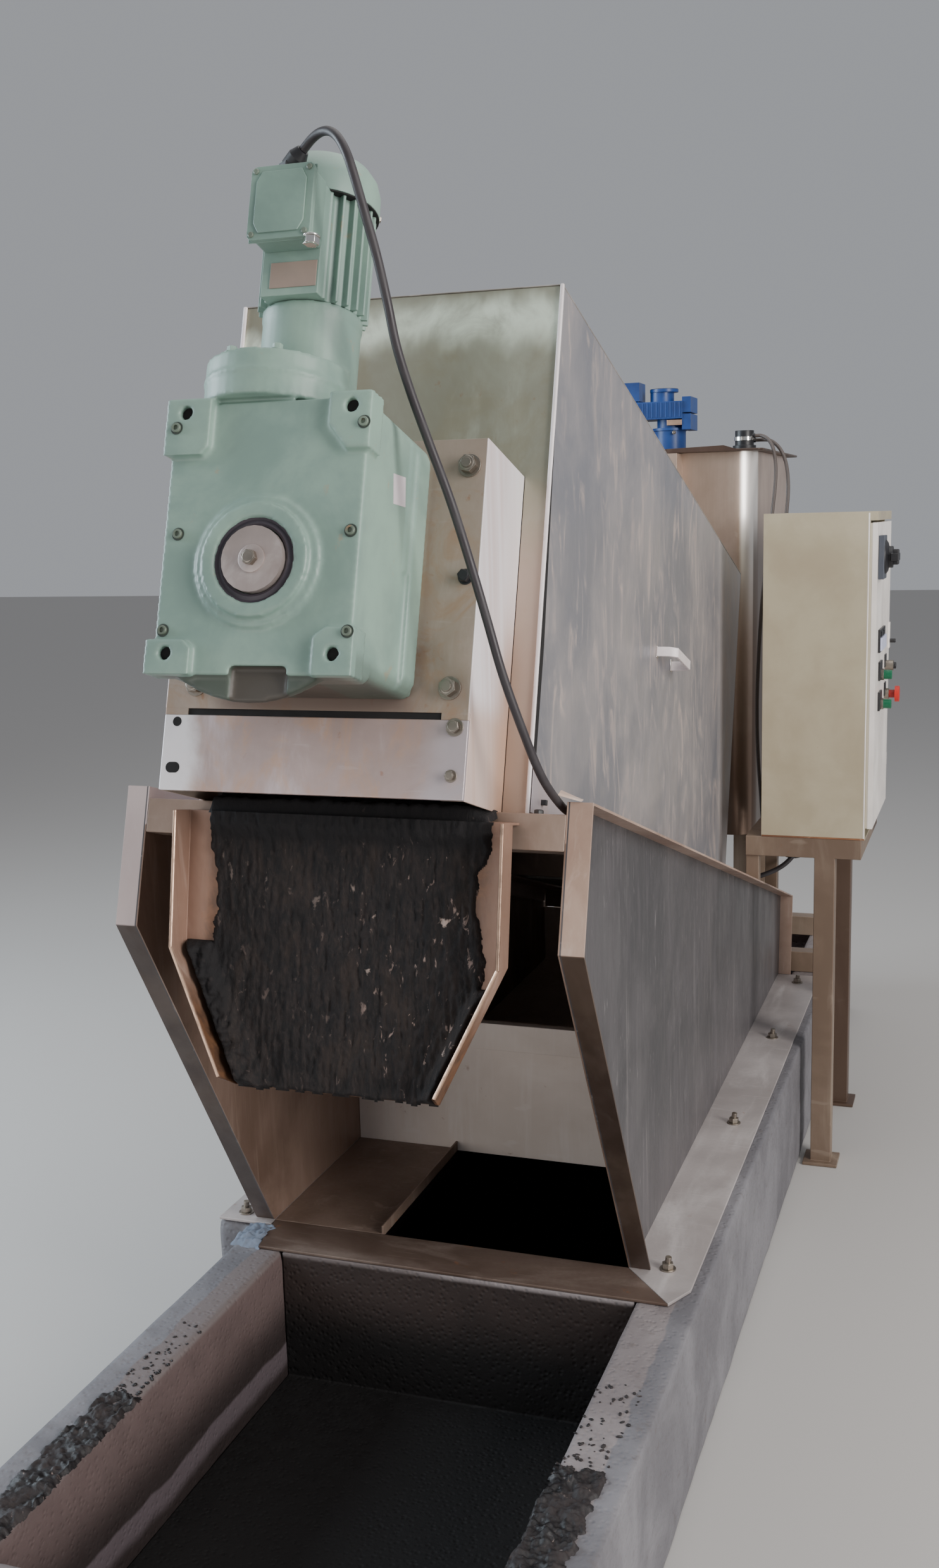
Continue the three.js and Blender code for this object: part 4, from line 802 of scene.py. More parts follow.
def settle(obj):
    """Applies the modifiers, so that the mesh is what shows."""
    bpy.context.view_layer.update()
    graph = bpy.context.evaluated_depsgraph_get()
    mesh = bpy.data.meshes.new_from_object(obj.evaluated_get(graph))
    obj.modifiers.clear()
    obj.data = mesh
    return mesh


def fuse(name, names, bm, material, voxel):
    """CAD nodes and added solids, cast as one body with soft edges, that stands for those nodes."""
    bmesh.ops.transform(bm, matrix=LEANING, verts=bm.verts)
    for node in names:
        bm.from_mesh(nodes[node].data)
    bmesh.ops.remove_doubles(bm, verts=bm.verts, dist=0.000005)
    obj = new_object(name, mesh_of(name, bm), material)
    remesh = obj.modifiers.new("cast", "REMESH")
    remesh.mode = "VOXEL"
    remesh.voxel_size = voxel
    soft = obj.modifiers.new("soft", "SMOOTH")
    soft.factor = 0.5
    soft.iterations = 2
    mesh = settle(obj)
    all_smooth(mesh)
    mesh.materials.clear()
    mesh.materials.append(material)
    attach(obj, MAIN)
    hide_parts(*names)
    return obj


# Cables: the points that they follow, in the machine's frame

MOTOR_CABLE = 0.013
SENSOR_CABLE = 0.010
MOTOR_ROUTE = [
    (0.0185, -0.1167, 1.8614), (0.0222, -0.1175, 1.8646), (0.0347, -0.1213, 1.8735),
    (0.0481, -0.1272, 1.8785), (0.0617, -0.1347, 1.8786), (0.0741, -0.1426, 1.874), (0.0849, -0.15, 1.8657),
    (0.0941, -0.1562, 1.8546), (0.1017, -0.1606, 1.8418), (0.1078, -0.1633, 1.8277),
    (0.1125, -0.164, 1.8133), (0.127, -0.1631, 1.7608), (0.139, -0.1555, 1.7063), (0.149, -0.1473, 1.6464),
    (0.158, -0.141, 1.588), (0.176, -0.143, 1.53), (0.201, -0.143, 1.46), (0.232, -0.141, 1.374),
    (0.258, -0.138, 1.287), (0.278, -0.133, 1.211), (0.296, -0.122, 1.133), (0.316, -0.099, 1.053),
    (0.332, -0.059, 0.978), (0.339, 0.017, 0.922), (0.336, 0.09, 0.8945), (0.328, 0.19, 0.8625),
    (0.318, 0.38, 0.8046), (0.326, 0.9, 0.6484), (0.315, 1.42, 0.4922), (0.32, 1.64, 0.4265),
    (0.33, 1.77, 0.393), (0.342, 1.83, 0.392), (0.3587, 1.8631, 0.3937), (0.3788, 1.8937, 0.3964),
    (0.4004, 1.9232, 0.4028), (0.4215, 1.9501, 0.4154), (0.4402, 1.9728, 0.438), (0.4517, 1.9863, 0.4702),
    (0.455, 1.99, 0.506), (0.455, 1.99, 0.5194)]
FRONT_ROUTE = [
    (0.2923, 2.193, 1.557), (0.298, 2.193, 1.557), (0.306, 2.1925, 1.557), (0.324, 2.183, 1.55),
    (0.343, 2.162, 1.528), (0.355, 2.138, 1.49), (0.36, 2.115, 1.44), (0.355, 2.1, 1.357),
    (0.343, 2.094, 1.25), (0.331, 2.09, 1.12), (0.323, 2.088, 0.98), (0.319, 2.087, 0.82),
    (0.323, 2.087, 0.68), (0.331, 2.084, 0.58), (0.338, 2.078, 0.51), (0.354, 2.07, 0.455),
    (0.383, 2.052, 0.428), (0.425, 2.014, 0.419), (0.464, 1.984, 0.435), (0.491, 1.967, 0.466),
    (0.5, 1.965, 0.5), (0.5, 1.965, 0.5194),
]
REAR_ROUTE = [
    (0.2923, 2.207, 1.546), (0.299, 2.207, 1.546), (0.308, 2.2065, 1.546), (0.332, 2.196, 1.543),
    (0.362, 2.172, 1.52), (0.383, 2.145, 1.48), (0.393, 2.122, 1.418), (0.391, 2.108, 1.345),
    (0.382, 2.104, 1.25), (0.368, 2.106, 1.1), (0.356, 2.11, 0.95), (0.347, 2.112, 0.8),
    (0.344, 2.112, 0.66), (0.346, 2.11, 0.57), (0.351, 2.106, 0.505), (0.366, 2.1, 0.458),
    (0.398, 2.086, 0.43), (0.44, 2.062, 0.423), (0.476, 2.038, 0.442), (0.496, 2.026, 0.477),
    (0.5, 2.025, 0.505), (0.5, 2.025, 0.5194),
]


def smooth_route(points, steps=8):
    """A centripetal curve through the points, as many short straight runs."""
    points = [Vector(p) for p in points]
    ends = [2 * points[0] - points[1]] + points + [2 * points[-1] - points[-2]]
    line = []
    for a, b, c, d in zip(ends, ends[1:], ends[2:], ends[3:]):
        ab, bc, cd = (math.sqrt((q - p).length) for p, q in ((a, b), (b, c), (c, d)))
        leave = bc * ((b - a) / ab - (c - a) / (ab + bc) + (c - b) / bc)
        arrive = bc * ((c - b) / bc - (d - b) / (bc + cd) + (d - c) / cd)
        for i in range(steps):
            t = i / steps
            line.append((2 * t**3 - 3 * t**2 + 1) * b + (t**3 - 2 * t**2 + t) * leave
                        + (3 * t**2 - 2 * t**3) * c + (t**3 - t**2) * arrive)
    return line + [points[-1]]


def make_cable(node, points, diameter, material):
    """A cable's sheath along its route, in place of its CAD node."""
    line = [MACHINE + p for p in smooth_route(points)]
    curve = bpy.data.curves.new(f"{node}_sheath", "CURVE")
    curve.dimensions = "3D"
    spline = curve.splines.new("POLY")
    spline.points.add(len(line) - 1)
    for point, at in zip(spline.points, line):
        point.co = (*at, 1.0)
    curve.bevel_depth = diameter / 2
    curve.bevel_resolution = 4
    curve.use_fill_caps = True
    curve.materials.append(material)
    sheath = bpy.data.objects.new(f"{node}_sheath", curve)
    scene.collection.objects.link(sheath)
    spline.use_smooth = True
    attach(sheath, MAIN)
    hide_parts(node)


make_cable("motor_cable", MOTOR_ROUTE, MOTOR_CABLE, mat_rubber)
make_cable("sensor_cable_front", FRONT_ROUTE, SENSOR_CABLE, mat_dusty_rubber)
make_cable("sensor_cable_rear", REAR_ROUTE, SENSOR_CABLE, mat_dusty_rubber)


# Sheet metal, bars and boxes of the CAD model: finish, width of the soft edges, their steps and least angle

for side in ("left", "right"):
    dress(f"side_plate_{side}", mat_plate, 0.0012)
    dress(f"hood_side_{side}", mat_hood_side, 0.0008)
    dress(f"hood_handle_{side}", mat_trim, 0.0016, 3, 50)
    dress(f"base_flange_{side}", mat_flange, 0.0012)
for row in (
        ("discharge_housing", mat_housing, 0.0012), ("discharge_cover", mat_cover, 0.0016),
        ("cross_member", mat_cross, 0.0015), ("chute", mat_chute, 0.0012),
        ("base_bar_front", mat_bar, 0.0014), ("hood_front", mat_hood_front, 0.0009),
        ("hood_top", mat_hood_top, 0.0009), ("hood_rear", mat_hood_top, 0.0009),
        ("filtrate_tray", mat_tray_painted_light, 0.0012), ("pit_cover", mat_inner, 0.0012),
        ("screw_drum", mat_inner, 0.001), ("press_screw", mat_shaft, 0.0014),
        ("tank_shell", mat_tank, 0.0012), ("tank_lid", mat_lid, 0.0014), ("tank_trestle", mat_frame, 0.002),
        ("cabinet_frame", mat_cabinet_frame, 0.0016), ("cabinet_box", mat_cabinet, 0.0014),
        ("cabinet_door", mat_door, 0.0028, 3), ("switch_plate", mat_slate, 0.0016),
        ("main_switch", mat_black, 0.0026, 3), ("gland_plate", mat_black, 0.0012),
        ("cable_gland", mat_black, 0.0014), ("level_sensor", mat_black, 0.002),
        ("mixer_motor", mat_blue, 0.003, 3), ("motor_body", mat_green, 0.0014),
        ("fan_cowl", mat_green, 0.0015), ("terminal_box", mat_terminal, 0.0022, 3),
        ("pit_floor", mat_pit, 0.004)):
    dress(*row)


# Castings: the gearbox with its input flange, and the kerb. Leaning places are (x, s, t).

MOTOR_S = -0.266
FLANGE_X, FLANGE_S = -0.034, -0.286
HOUSING_FACE = -0.140
OUT = (0, -1, 0)
UP = (0, 0, 1)


def cast_gearbox():
    bm = bmesh.new()
    # Ridges down the sides near the back
    for x in both(0.146, 0.1515):
        add_box(bm, x, (-0.215, -0.200), (0.30, 0.487))
    add_rod(bm, (FLANGE_X, FLANGE_S, 0.5395), (FLANGE_X, FLANGE_S, 0.5435), 0.1072, 48)
    add_rod(bm, (0, MOTOR_S, 0.645), (0, MOTOR_S, 0.661), 0.0725, 40)
    fuse("gearbox_casting", ("gearbox_housing", "input_flange"), bm, mat_gear, 0.0034)


def cast_kerb():
    """The kerb as one body, with a surface that isn't quite even."""
    names = ("kerb_front", "plinth_left", "kerb_right")
    kerb = fuse("kerb_concrete", names, bmesh.new(), mat_concrete, 0.013)
    moved = []
    for vertex in kerb.data.vertices:
        at = vertex.co.copy()
        lump = noise.noise(at * 5.0) * 0.0018 + noise.noise(at * 17.0) * 0.0012
        if abs(at.z - kerb_high.z) > 0.004:
            at += vertex.normal * lump
        else:
            at.z += min(lump, 0.0)
        moved.extend(at)
    kerb.data.vertices.foreach_set("co", moved)
    kerb.data.update()


cast_gearbox()
cast_kerb()


# Small things on the drive: bolts, screws, plates and the seal


def drive_bolts():
    """Bolts on the housing's face and cover."""
    bm = bmesh.new()
    for x, t, turn in ((0.212, 0.476, 0.3), (-0.212, 0.476, 0.7), (0.206, 0.144, 0.1), (-0.206, 0.144, 0.5)):
        add_bolt(bm, (x, HOUSING_FACE, t), OUT, 0.024, 0.0125, 0.0175, turn)
        add_rod(bm, (x, HOUSING_FACE - 0.012, t), (x, HOUSING_FACE - 0.019, t), 0.0075, 16)
    add_bolt(bm, (0.218, HOUSING_FACE, 0.087), OUT, 0.017, 0.009, 0.0135, 0.2)
    add_bolt(bm, (0.217, HOUSING_FACE, 0.016), OUT, 0.013, 0.008, 0.0095, 0.6)
    piece("drive_bolts", bm, mat_bolt, "housing_steel", LEANING, bevel=0.0006)
    black = (
        ((0.218, HOUSING_FACE, 0.309), OUT, 0.017, 0.011, 0.012, 0.4),
        ((0.305, 0.020, -0.0193), UP, 0.014, 0.007, 0.0, 0.2))
    group("black_bolts", add_bolt, black, mat_black, "black_plastic", LEANING, bevel=0.0008)


def drive_openings():
    """Holes of the cover, and the slot over it, as thin dark faces of painted shade; the plate closes the
    slot's ends.
    """
    bm = bmesh.new()
    add_box(bm, (-0.218, 0.197), (HOUSING_FACE + 0.002, HOUSING_FACE + 0.004), (0.0975, 0.1085))
    face = HOUSING_FACE - 0.0003
    oval = []
    for i in range(24):
        angle = 2 * math.pi * i / 24
        x = 0.0085 * math.cos(angle) + (0.0035 if math.cos(angle) > 0 else -0.0035)
        oval.append((-0.235 + x, 0.016 + 0.0085 * math.sin(angle)))
    add_prism(bm, oval, "y", (face, HOUSING_FACE))
    add_rod(bm, (-0.234, HOUSING_FACE, 0.087), (-0.234, face, 0.087), 0.0075, 24)
    piece("drive_hole_shades", bm, mat_dark, "housing_steel", LEANING)
    depth, height = (HOUSING_FACE + 0.0002, HOUSING_FACE + 0.007), (0.0979, 0.1081)
    ends = (((-0.2555, -0.217), depth, height), ((0.196, 0.2375), depth, height))
    group("slot_ends", add_box, ends, mat_housing, "housing_steel", LEANING)


def gear_screws():
    """Socket screws round the gearbox face, each in a small spot face painted dark as painted shade, and the
    painted shadows of the holes beside them.
    """
    places = (
        (0.1465, 0.459), (0.1465, 0.174), (0.134, 0.314), (-0.126, 0.314), (-0.136, 0.462), (-0.136, 0.178))
    bm = bmesh.new()
    rings = bmesh.new()
    for x, t in places:
        face = -0.3725 if abs(t - 0.314) < 0.01 or (x, t) == (-0.136, 0.178) else -0.3855
        add_socket_screw(bm, (x, face + 0.001, t), OUT, 0.0068, 0.0055)
        add_turned(rings, disc(0.0092, 0.0005), (x, face, t), OUT, 24)
    piece("gear_screws", bm, mat_seat, "green_casting", LEANING)
    piece("gear_screw_seats", rings, mat_recess_shade, "green_casting", LEANING)
    bm = bmesh.new()
    for x in (-0.125, 0.125):
        for t in (0.1445, 0.4845):
            add_rod(bm, (x, -0.3748, t), (x, -0.3752, t), 0.0098, 24)
            add_rod(bm, (x, -0.3600, t), (x, -0.3625, t), 0.0102, 24)
    piece("gear_hole_shadows", bm, mat_dark, "green_casting", LEANING)


def hub_parts():
    """Seal round the shaft, and the washer and bolt on the shaft's end."""
    seal = (
        (0.0475, -0.002), (0.0475, 0.010), (0.051, 0.012), (0.056, 0.0095), (0.0592, 0.0118), (0.0598, 0.010),
        (0.0598, -0.002), (0.0475, -0.002))
    group(
        "hub_seal", add_turned, ((seal, (0, -0.3720, AXIS_T), OUT, 64),), mat_seal, "black_plastic", LEANING)
    washer = ((0, 0), (0.0195, 0), (0.0195, 0.0018), (0.0175, 0.0026), (0, 0.0026))
    group(
        "shaft_washer", add_turned, ((washer, (0, -0.3910, AXIS_T), OUT, 40),), mat_shaft, "shaft_steel",
        LEANING, body="screw")
    group(
        "shaft_bolt", add_bolt, (((0, -0.3936, AXIS_T), OUT, 0.019, 0.009, 0, 0.35),), mat_bolt,
        "shaft_steel", LEANING, body="screw", bevel=0.0006)


def labels():
    """Bare nameplate on the motor and bare sticker on the gearbox."""
    plate = ((-0.030, 0.041), (-0.3524, -0.3506), (0.672, 0.709))
    group("nameplate", add_box, (plate,), mat_label, "green_casting", LEANING, bevel=0.0004)
    sticker = ((0.1470, 0.1484), (-0.271, -0.225), (0.386, 0.428), Matrix.Rotation(0.18, 4, "X"))
    group("sticker", add_box, (sticker,), mat_sticker, "green_casting", LEANING)


def terminal_parts():
    """Raised middle and rim of the terminal box's lid, its screws, and the plug below."""
    bm = bmesh.new()
    corners = (
        (-0.038, -0.030), (-0.030, -0.0445), (0.030, -0.0445), (0.038, -0.030),
        (0.038, 0.030), (0.030, 0.0445), (-0.030, 0.0445), (-0.038, 0.030))
    add_prism(bm, [(x, 0.7755 + t) for x, t in corners], "y", (-0.4008, -0.3975))
    add_box(bm, (-0.0485, 0.0485), (-0.3905, -0.3880), (0.7215, 0.8295))
    piece("terminal_lid_panel", bm, mat_terminal, "green_casting", LEANING, bevel=0.0012)
    bm = bmesh.new()
    for x in (-0.0405, 0.0405):
        for t in (0.7295, 0.8215):
            screw = ((0, 0), (0.0042, 0), (0.0042, 0.0020), (0.0030, 0.0030), (0, 0.0030))
            add_turned(bm, screw, (x, -0.3980, t), OUT, 20)
    piece("terminal_screws", bm, mat_seat, "green_casting", LEANING)
    plug = ((0.0480, -0.3900, 0.7249), (0, 0, -1), 0.020, 0.010, 0.0125, 0.2)
    group("terminal_plug", add_bolt, (plug,), mat_chrome, "handle_steel", LEANING, bevel=0.0008)


def cowl_parts():
    """Dark ring of painted shade in the gap between fins and cowl, the grille on top of the cowl, and its
    screws.
    """
    # Painted shade under the cowl's rim
    slit = (ring(0.070, 0.0838, 0, 0.0016), (0, MOTOR_S, 0.8178), UP, 56)
    group("cowl_slit_shade", add_turned, (slit,), mat_dark, "green_casting", LEANING)
    bm = bmesh.new()
    for radius, height in (
            (0.008, 0.8958), (0.014, 0.8958), (0.022, 0.8953), (0.029, 0.8943), (0.036, 0.8935)):
        bars = ring(radius, radius + 0.0026, height - 0.0006, height + 0.0006)
        add_turned(bm, bars, (0, MOTOR_S, 0), UP, 40)
    piece("cowl_grille", bm, mat_dark, "green_casting", LEANING)
    bm = bmesh.new()
    for i in range(3):
        angle = math.radians(40 + 100 * i)
        out = Vector((math.cos(angle), math.sin(angle), 0))
        at = Vector((0, MOTOR_S, 0.834)) + out * 0.0838
        add_bolt(bm, at, out, 0.0085, 0.004, 0.0065, 0.2)
    piece("cowl_screws", bm, mat_bolt, "green_casting", LEANING)


def flange_bolts():
    """Bolts round the input flange, apart from those that the motor covers."""
    circle = 0.0915
    bm = bmesh.new()
    for i in range(8):
        angle = math.radians(22.5 + 45 * i)
        x, s = FLANGE_X + circle * math.cos(angle), FLANGE_S + circle * math.sin(angle)
        if math.hypot(x, s - MOTOR_S) > 0.083:
            add_bolt(bm, (x, s, 0.5718), UP, 0.013, 0.008, 0.0105, angle)
    piece("flange_bolts", bm, mat_green, "green_casting", LEANING, bevel=0.0005)


drive_bolts()
drive_openings()
gear_screws()
hub_parts()
labels()
terminal_parts()
cowl_parts()
flange_bolts()


# Small things on the sheets


def hood_edges():
    """Lips and slits of the hood's front corners, the lips in near white as a painted highlight, its top
    edge, and the feet of the handles.
    """
    lips = [(x, (0.0392, 0.0449), (-0.0185, 0.8315)) for x in both(0.2765, 0.2832)]
    group("hood_front_lips", add_box, lips, mat_trim, "hood_steel", LEANING, bevel=0.0022)
    slit = ((0.0449, 0.08), (0.0625, 0.08), (0.0650, 0.25), (0.0449, 0.62))
    slits = [(slit, "x", x) for x in both(0.2819, 0.2824)]
    group("hood_slits", add_prism, slits, mat_dark, "hood_steel", LEANING)
    top = ((-0.2825, 0.2825), (0.0430, 0.0482), (0.8302, 0.8318))
    group("hood_top_edge", add_box, (top,), mat_hood_top, "hood_steel", LEANING, bevel=0.0005)
    feet = [(x, (s - 0.008, s + 0.008), (0.398, 0.422)) for x in both(0.2820, 0.2836) for s in (0.883, 1.027)]
    group("handle_feet", add_box, feet, mat_chrome, "handle_steel", LEANING, bevel=0.0006)


def tray_strip():
    """Upright strip that closes the gap over the filtrate tray's rear end."""
    strip = ((-0.350, 0.350), (2.2622, 2.2655), (0.172, 0.228))
    group("tray_end_strip", add_box, (strip,), mat_inner, "worn_stainless")


def foot_sheet():
    """Sheet at the hood's front foot, with the square head of the bolt that holds it."""
    outline = ((0.0455, 0.060), (0.0455, -0.0135), (0.090, -0.0135), (0.250, -0.0005), (0.145, 0.034))
    group(
        "hood_foot_sheet", add_prism, ((outline, "x", (0.2836, 0.2848)),), mat_cover, "hood_steel", LEANING,
        bevel=0.0003)
    head = ((0.2846, 0.2935), (0.0960, 0.1050), (0.0035, 0.0120))
    group("hood_foot_bolt", add_box, (head,), mat_black, "handle_steel", LEANING, bevel=0.0006)


def ledge_tab():
    """Torn corner of the right side plate, curled up beside the cable."""
    bm = bmesh.new()
    steps = 14
    thick = 0.0016
    columns = []
    for i in range(steps + 1):
        u = i / steps
        x = 0.343 + 0.034 * u
        rise = 0.013 * (1 - u) ** 1.3
        column = []
        for width in (0.0, 0.5, 1.0):
            y = 0.0045 - 0.016 * width * (1 - 0.4 * u) + 0.003 * math.sin(3 * u)
            z = DECK + 0.0008 + rise * (1 - 0.25 * width) + 0.001
            column.append((x, y, z))
        columns.append(column)
    low, high = (
        [[bm.verts.new((x, y + shift, z + shift)) for x, y, z in column] for column in columns]
        for shift in (0.0, thick))
    for i in range(steps):
        for j in range(2):
            bm.faces.new((low[i][j], low[i + 1][j], low[i + 1][j + 1], low[i][j + 1]))
            bm.faces.new((high[i][j], high[i][j + 1], high[i + 1][j + 1], high[i + 1][j]))
        for j in (0, 2):
            bm.faces.new((low[i][j], low[i + 1][j], high[i + 1][j], high[i][j]))
    for i in (0, steps):
        for j in range(2):
            bm.faces.new((low[i][j], low[i][j + 1], high[i][j + 1], high[i][j]))
    piece("curled_corner", bm, mat_fold, "worn_stainless", angle=60)


def anchor_bolts():
    """Bolts through the base flanges, each with its stud."""
    bm = bmesh.new()
    for x in (0.423, -0.423):
        for i, y in enumerate((0.385, 1.10, 1.70, 2.20)):
            add_bolt(bm, (x, y, 0.006), UP, 0.019, 0.010, 0.015, 0.3 + 0.7 * i)
            add_rod(bm, (x, y, 0.015), (x + 0.002, y - 0.001, 0.030), 0.0058, 16)
    piece("anchor_bolts", bm, mat_bolt, "frame_steel", bevel=0.0005)


def chute_edges():
    """Folded rims along the chute's walls."""
    bm = bmesh.new()
    line = ((0.270, -0.001), (0.270, -0.215), (0.1789, -0.4100))
    for side in (-1, 1):
        for (x0, z0), (x1, z1) in zip(line, line[1:]):
            start = (side * (x0 - 0.001), -0.0495, z0)
            end = (side * (x1 - 0.001), -0.0495, z1)
            add_rod(bm, start, end, 0.0028, 10)
    piece("chute_rims", bm, mat_trim_tan, "chute_steel", CHUTE)


hood_edges()
foot_sheet()
tray_strip()
ledge_tab()
anchor_bolts()
chute_edges()


# Cabinet, tank and mixer

DOOR_FACE = 0.668
MIXER_Y = 2.460


def add_knob(bm, y, z, radius, start, reach):
    """A round knob or ring on the door, from start to reach in front of it."""
    profile = ((0, start), (radius, start), (radius, reach - 0.001), (radius - 0.001, reach), (0, reach))
    add_turned(bm, profile, (DOOR_FACE, y, z), (1, 0, 0), 32)


def add_plate(bm, y, z, reach):
    """A flat block that stands on the door."""
    add_box(bm, (DOOR_FACE - 0.0005, DOOR_FACE + reach), y, z)


def cabinet_parts():
    """Controls on the door: a meter, and two columns of buttons with their legend plates."""
    near, far = 1.775, 1.945
    bm = bmesh.new()
    for row in (
            ((1.705, 1.868), (1.004, 1.060), 0.0055),
            ((near - 0.045, near + 0.030), (0.933, 0.979), 0.005),
            ((near - 0.045, near + 0.030), (0.858, 0.904), 0.005),
            ((far - 0.022, far + 0.022), (0.948, 0.981), 0.003),
            ((far - 0.022, far + 0.022), (0.874, 0.908), 0.003),
            ((1.728, 1.760), (1.043, 1.055), 0.0085),
            ((1.790, 1.822), (1.043, 1.055), 0.0085)):
        add_plate(bm, *row)
    add_knob(bm, far, 0.9515, 0.0085, 0.020, 0.0285)
    add_knob(bm, 2.063, 1.006, 0.0055, 0.003, 0.018)
    piece(
        "control_blocks", bm, mat_black, "control_plastic", body="door", bevel=0.0008,
        stands_for=("control_strip",))
    bezels = (
        (near, 0.945, 0.0145, 0.003, 0.011), (near, 0.872, 0.0145, 0.003, 0.011),
        (far, 0.9515, 0.0135, 0.0, 0.022), (far, 0.878, 0.0145, 0.0, 0.012))
    starts = ((near, 0.945, 0.0118, 0.010, 0.030), (near, 0.872, 0.0118, 0.010, 0.030))
    for name, material, rows in (
            ("control_bezels", mat_bolt, bezels), ("start_buttons", mat_green_button, starts),
            ("stop_button", mat_red_button, ((far, 0.878, 0.0205, 0.027, 0.038),)),
            ("stop_stem", mat_dark_red, ((far, 0.878, 0.0105, 0.010, 0.028),))):
        group(name, add_knob, rows, material, "control_plastic", body="door")
    for name, row, material, slot in (
            ("meter_window", ((1.712, 1.861), (1.008, 1.040), 0.0095), mat_grey, "control_plastic"),
            ("door_bracket", ((2.046, 2.0725), (0.987, 1.055), 0.003), mat_door, "cabinet_paint")):
        group(name, add_plate, (row,), material, slot, body="door", bevel=0.001)


def switch_parts():
    """A shallow dome on the switch's plate, and the square block that turns on it."""
    profile = ((0, 0.0137), (0.041, 0.0137), (0.040, 0.0165), (0.034, 0.0205), (0.022, 0.0235), (0, 0.0240))
    group(
        "switch_dome", add_turned, ((profile, (DOOR_FACE, 1.705, 1.236), (1, 0, 0), 48),), mat_black,
        "control_plastic", body="switch_knob")
    block = ((DOOR_FACE + 0.020, DOOR_FACE + 0.0455), (1.691, 1.719), (1.2175, 1.2545))
    group("switch_block", add_box, (block,), mat_black, "control_plastic", body="switch_knob", bevel=0.003)


def cabinet_edges():
    """The box's rounded rim in the door's paler paint as a painted highlight, its door seal and the rust
    along its lower edge.
    """
    # The rim's paler paint is a painted highlight along the box's edge
    rim = ((0.6478, 1.6428, 0.553), (0.6478, 1.6428, 1.342), 0.0033, 20)
    group("box_rim", add_rod, (rim,), mat_door, "cabinet_paint")
    seal = (
        ((0.6508, 0.6557), (1.6402, 1.6490), (0.580, 1.318)),
        ((0.6500, 0.6556), (2.0600, 2.0660), (0.582, 1.316)))
    group("door_seal", add_box, seal, mat_gasket, "cabinet_paint")
    rust = ((0.400, 0.650), (1.6393, 1.6405), (0.5500, 0.5540))
    group("box_rust", add_box, (rust,), mat_rust, "cabinet_paint")


def mixer_parts():
    """Bolts, ribs and fins of the mixer, the sensor's band, and the bent edge of the tank's lid."""
    bm = bmesh.new()
    for i in range(6):
        angle = math.radians(60 * i + 12)
        x, y = 0.0545 * math.cos(angle), MIXER_Y + 0.0545 * math.sin(angle)
        add_bolt(bm, (x, y, 1.5317), UP, 0.009, 0.006)
    add_bolt(bm, (0.0215, 2.4135, 1.5855), OUT, 0.008, 0.006, 0.0055)
    piece("mixer_bolts", bm, mat_bolt, "blue_paint")
    # Ribs on the gear's front, fins round the motor, and a ring at the foot
    bm = bmesh.new()
    for i in range(10):
        x = -0.083 + 0.0137 * i
        add_box(bm, (x - 0.002, x + 0.002), (2.3985, 2.403), (1.629, 1.672))
    for i in range(20):
        angle = 2 * math.pi * i / 20
        middle = Vector((-0.160, MIXER_Y, 1.650)) + Vector((0, math.cos(angle), math.sin(angle))) * 0.047
        spin = Matrix.Rotation(angle, 4, "X") @ Matrix.Diagonal((0.120, 0.008, 0.0022, 1))
        bmesh.ops.create_cube(bm, size=1.0, matrix=Matrix.Translation(middle) @ spin)
    add_turned(bm, ring(0.046, 0.052, 0, 0.008), (0, MIXER_Y, 1.592), UP, 32)
    piece("mixer_rings", bm, mat_blue, "blue_paint", bevel=0.0008)
    top = (disc(0.041, 0.0012), (-0.017, MIXER_Y, 1.7128), UP, 32)
    group("mixer_lid_top", add_turned, (top,), mat_dark, "blue_paint")
    bracket = ((0.002, 0.046), (2.4040, 2.4120), (1.606, 1.622))
    group("mixer_bracket", add_box, (bracket,), mat_trim_tan, "blue_paint", bevel=0.001)
    band = (ring(0.0255, 0.0285, 0, 0.010), (0.262, 2.200, 1.545), UP, 32)
    group("sensor_band", add_turned, (band,), mat_chrome, "handle_steel")
    edge = (
        (-0.20, 1.5142), (0.330, 1.5142), (0.330, 1.5168), (0.262, 1.5184), (0.225, 1.530), (-0.20, 1.5168))
    group("lid_edge", add_prism, ((edge, "y", (2.0778, 2.0804)),), mat_lip, "tank_steel", bevel=0.0005)


cabinet_parts()
switch_parts()
cabinet_edges()
mixer_parts()


# Sludge: crusts on the chute and the kerb


def clump(x, y, z, size, octaves=4):
    """Lumpy noise round zero, with lumps of about this size."""
    return noise.fractal(Vector((x, y, z)) / size, 0.9, 2.1, octaves)


def crust(name, first, second, step, height_at, place, material):
    """A crust on a flat face: height_at gives its thickness at each place, below zero where there is none."""
    bm = bmesh.new()
    count_a = round((first[1] - first[0]) / step)
    count_b = round((second[1] - second[0]) / step)
    grid = []
    for i in range(count_a + 1):
        row = []
        for j in range(count_b + 1):
            a = first[0] + i * step
            b = second[0] + j * step
            height = max(height_at(a, b), -0.0012)
            row.append((bm.verts.new((a, b, height)), height))
        grid.append(row)
    for i in range(count_a):
        for j in range(count_b):
            corners = (grid[i][j], grid[i + 1][j], grid[i + 1][j + 1], grid[i][j + 1])
            if max(height for _, height in corners) > -0.001:
                bm.faces.new([vertex for vertex, _ in corners])
    for vertex in [v for v in bm.verts if not v.link_faces]:
        bm.verts.remove(vertex)
    mesh = mesh_of(name, bm)
    mesh.transform(place)
    all_smooth(mesh)
    obj = new_object(name, mesh, material)
    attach(obj, MAIN)


def ramp(value, low, high):
    """Goes softly from 0 to 1 while the value goes from low to high."""
    t = min(max((value - low) / (high - low), 0.0), 1.0)
    return t * t * (3 - 2 * t)


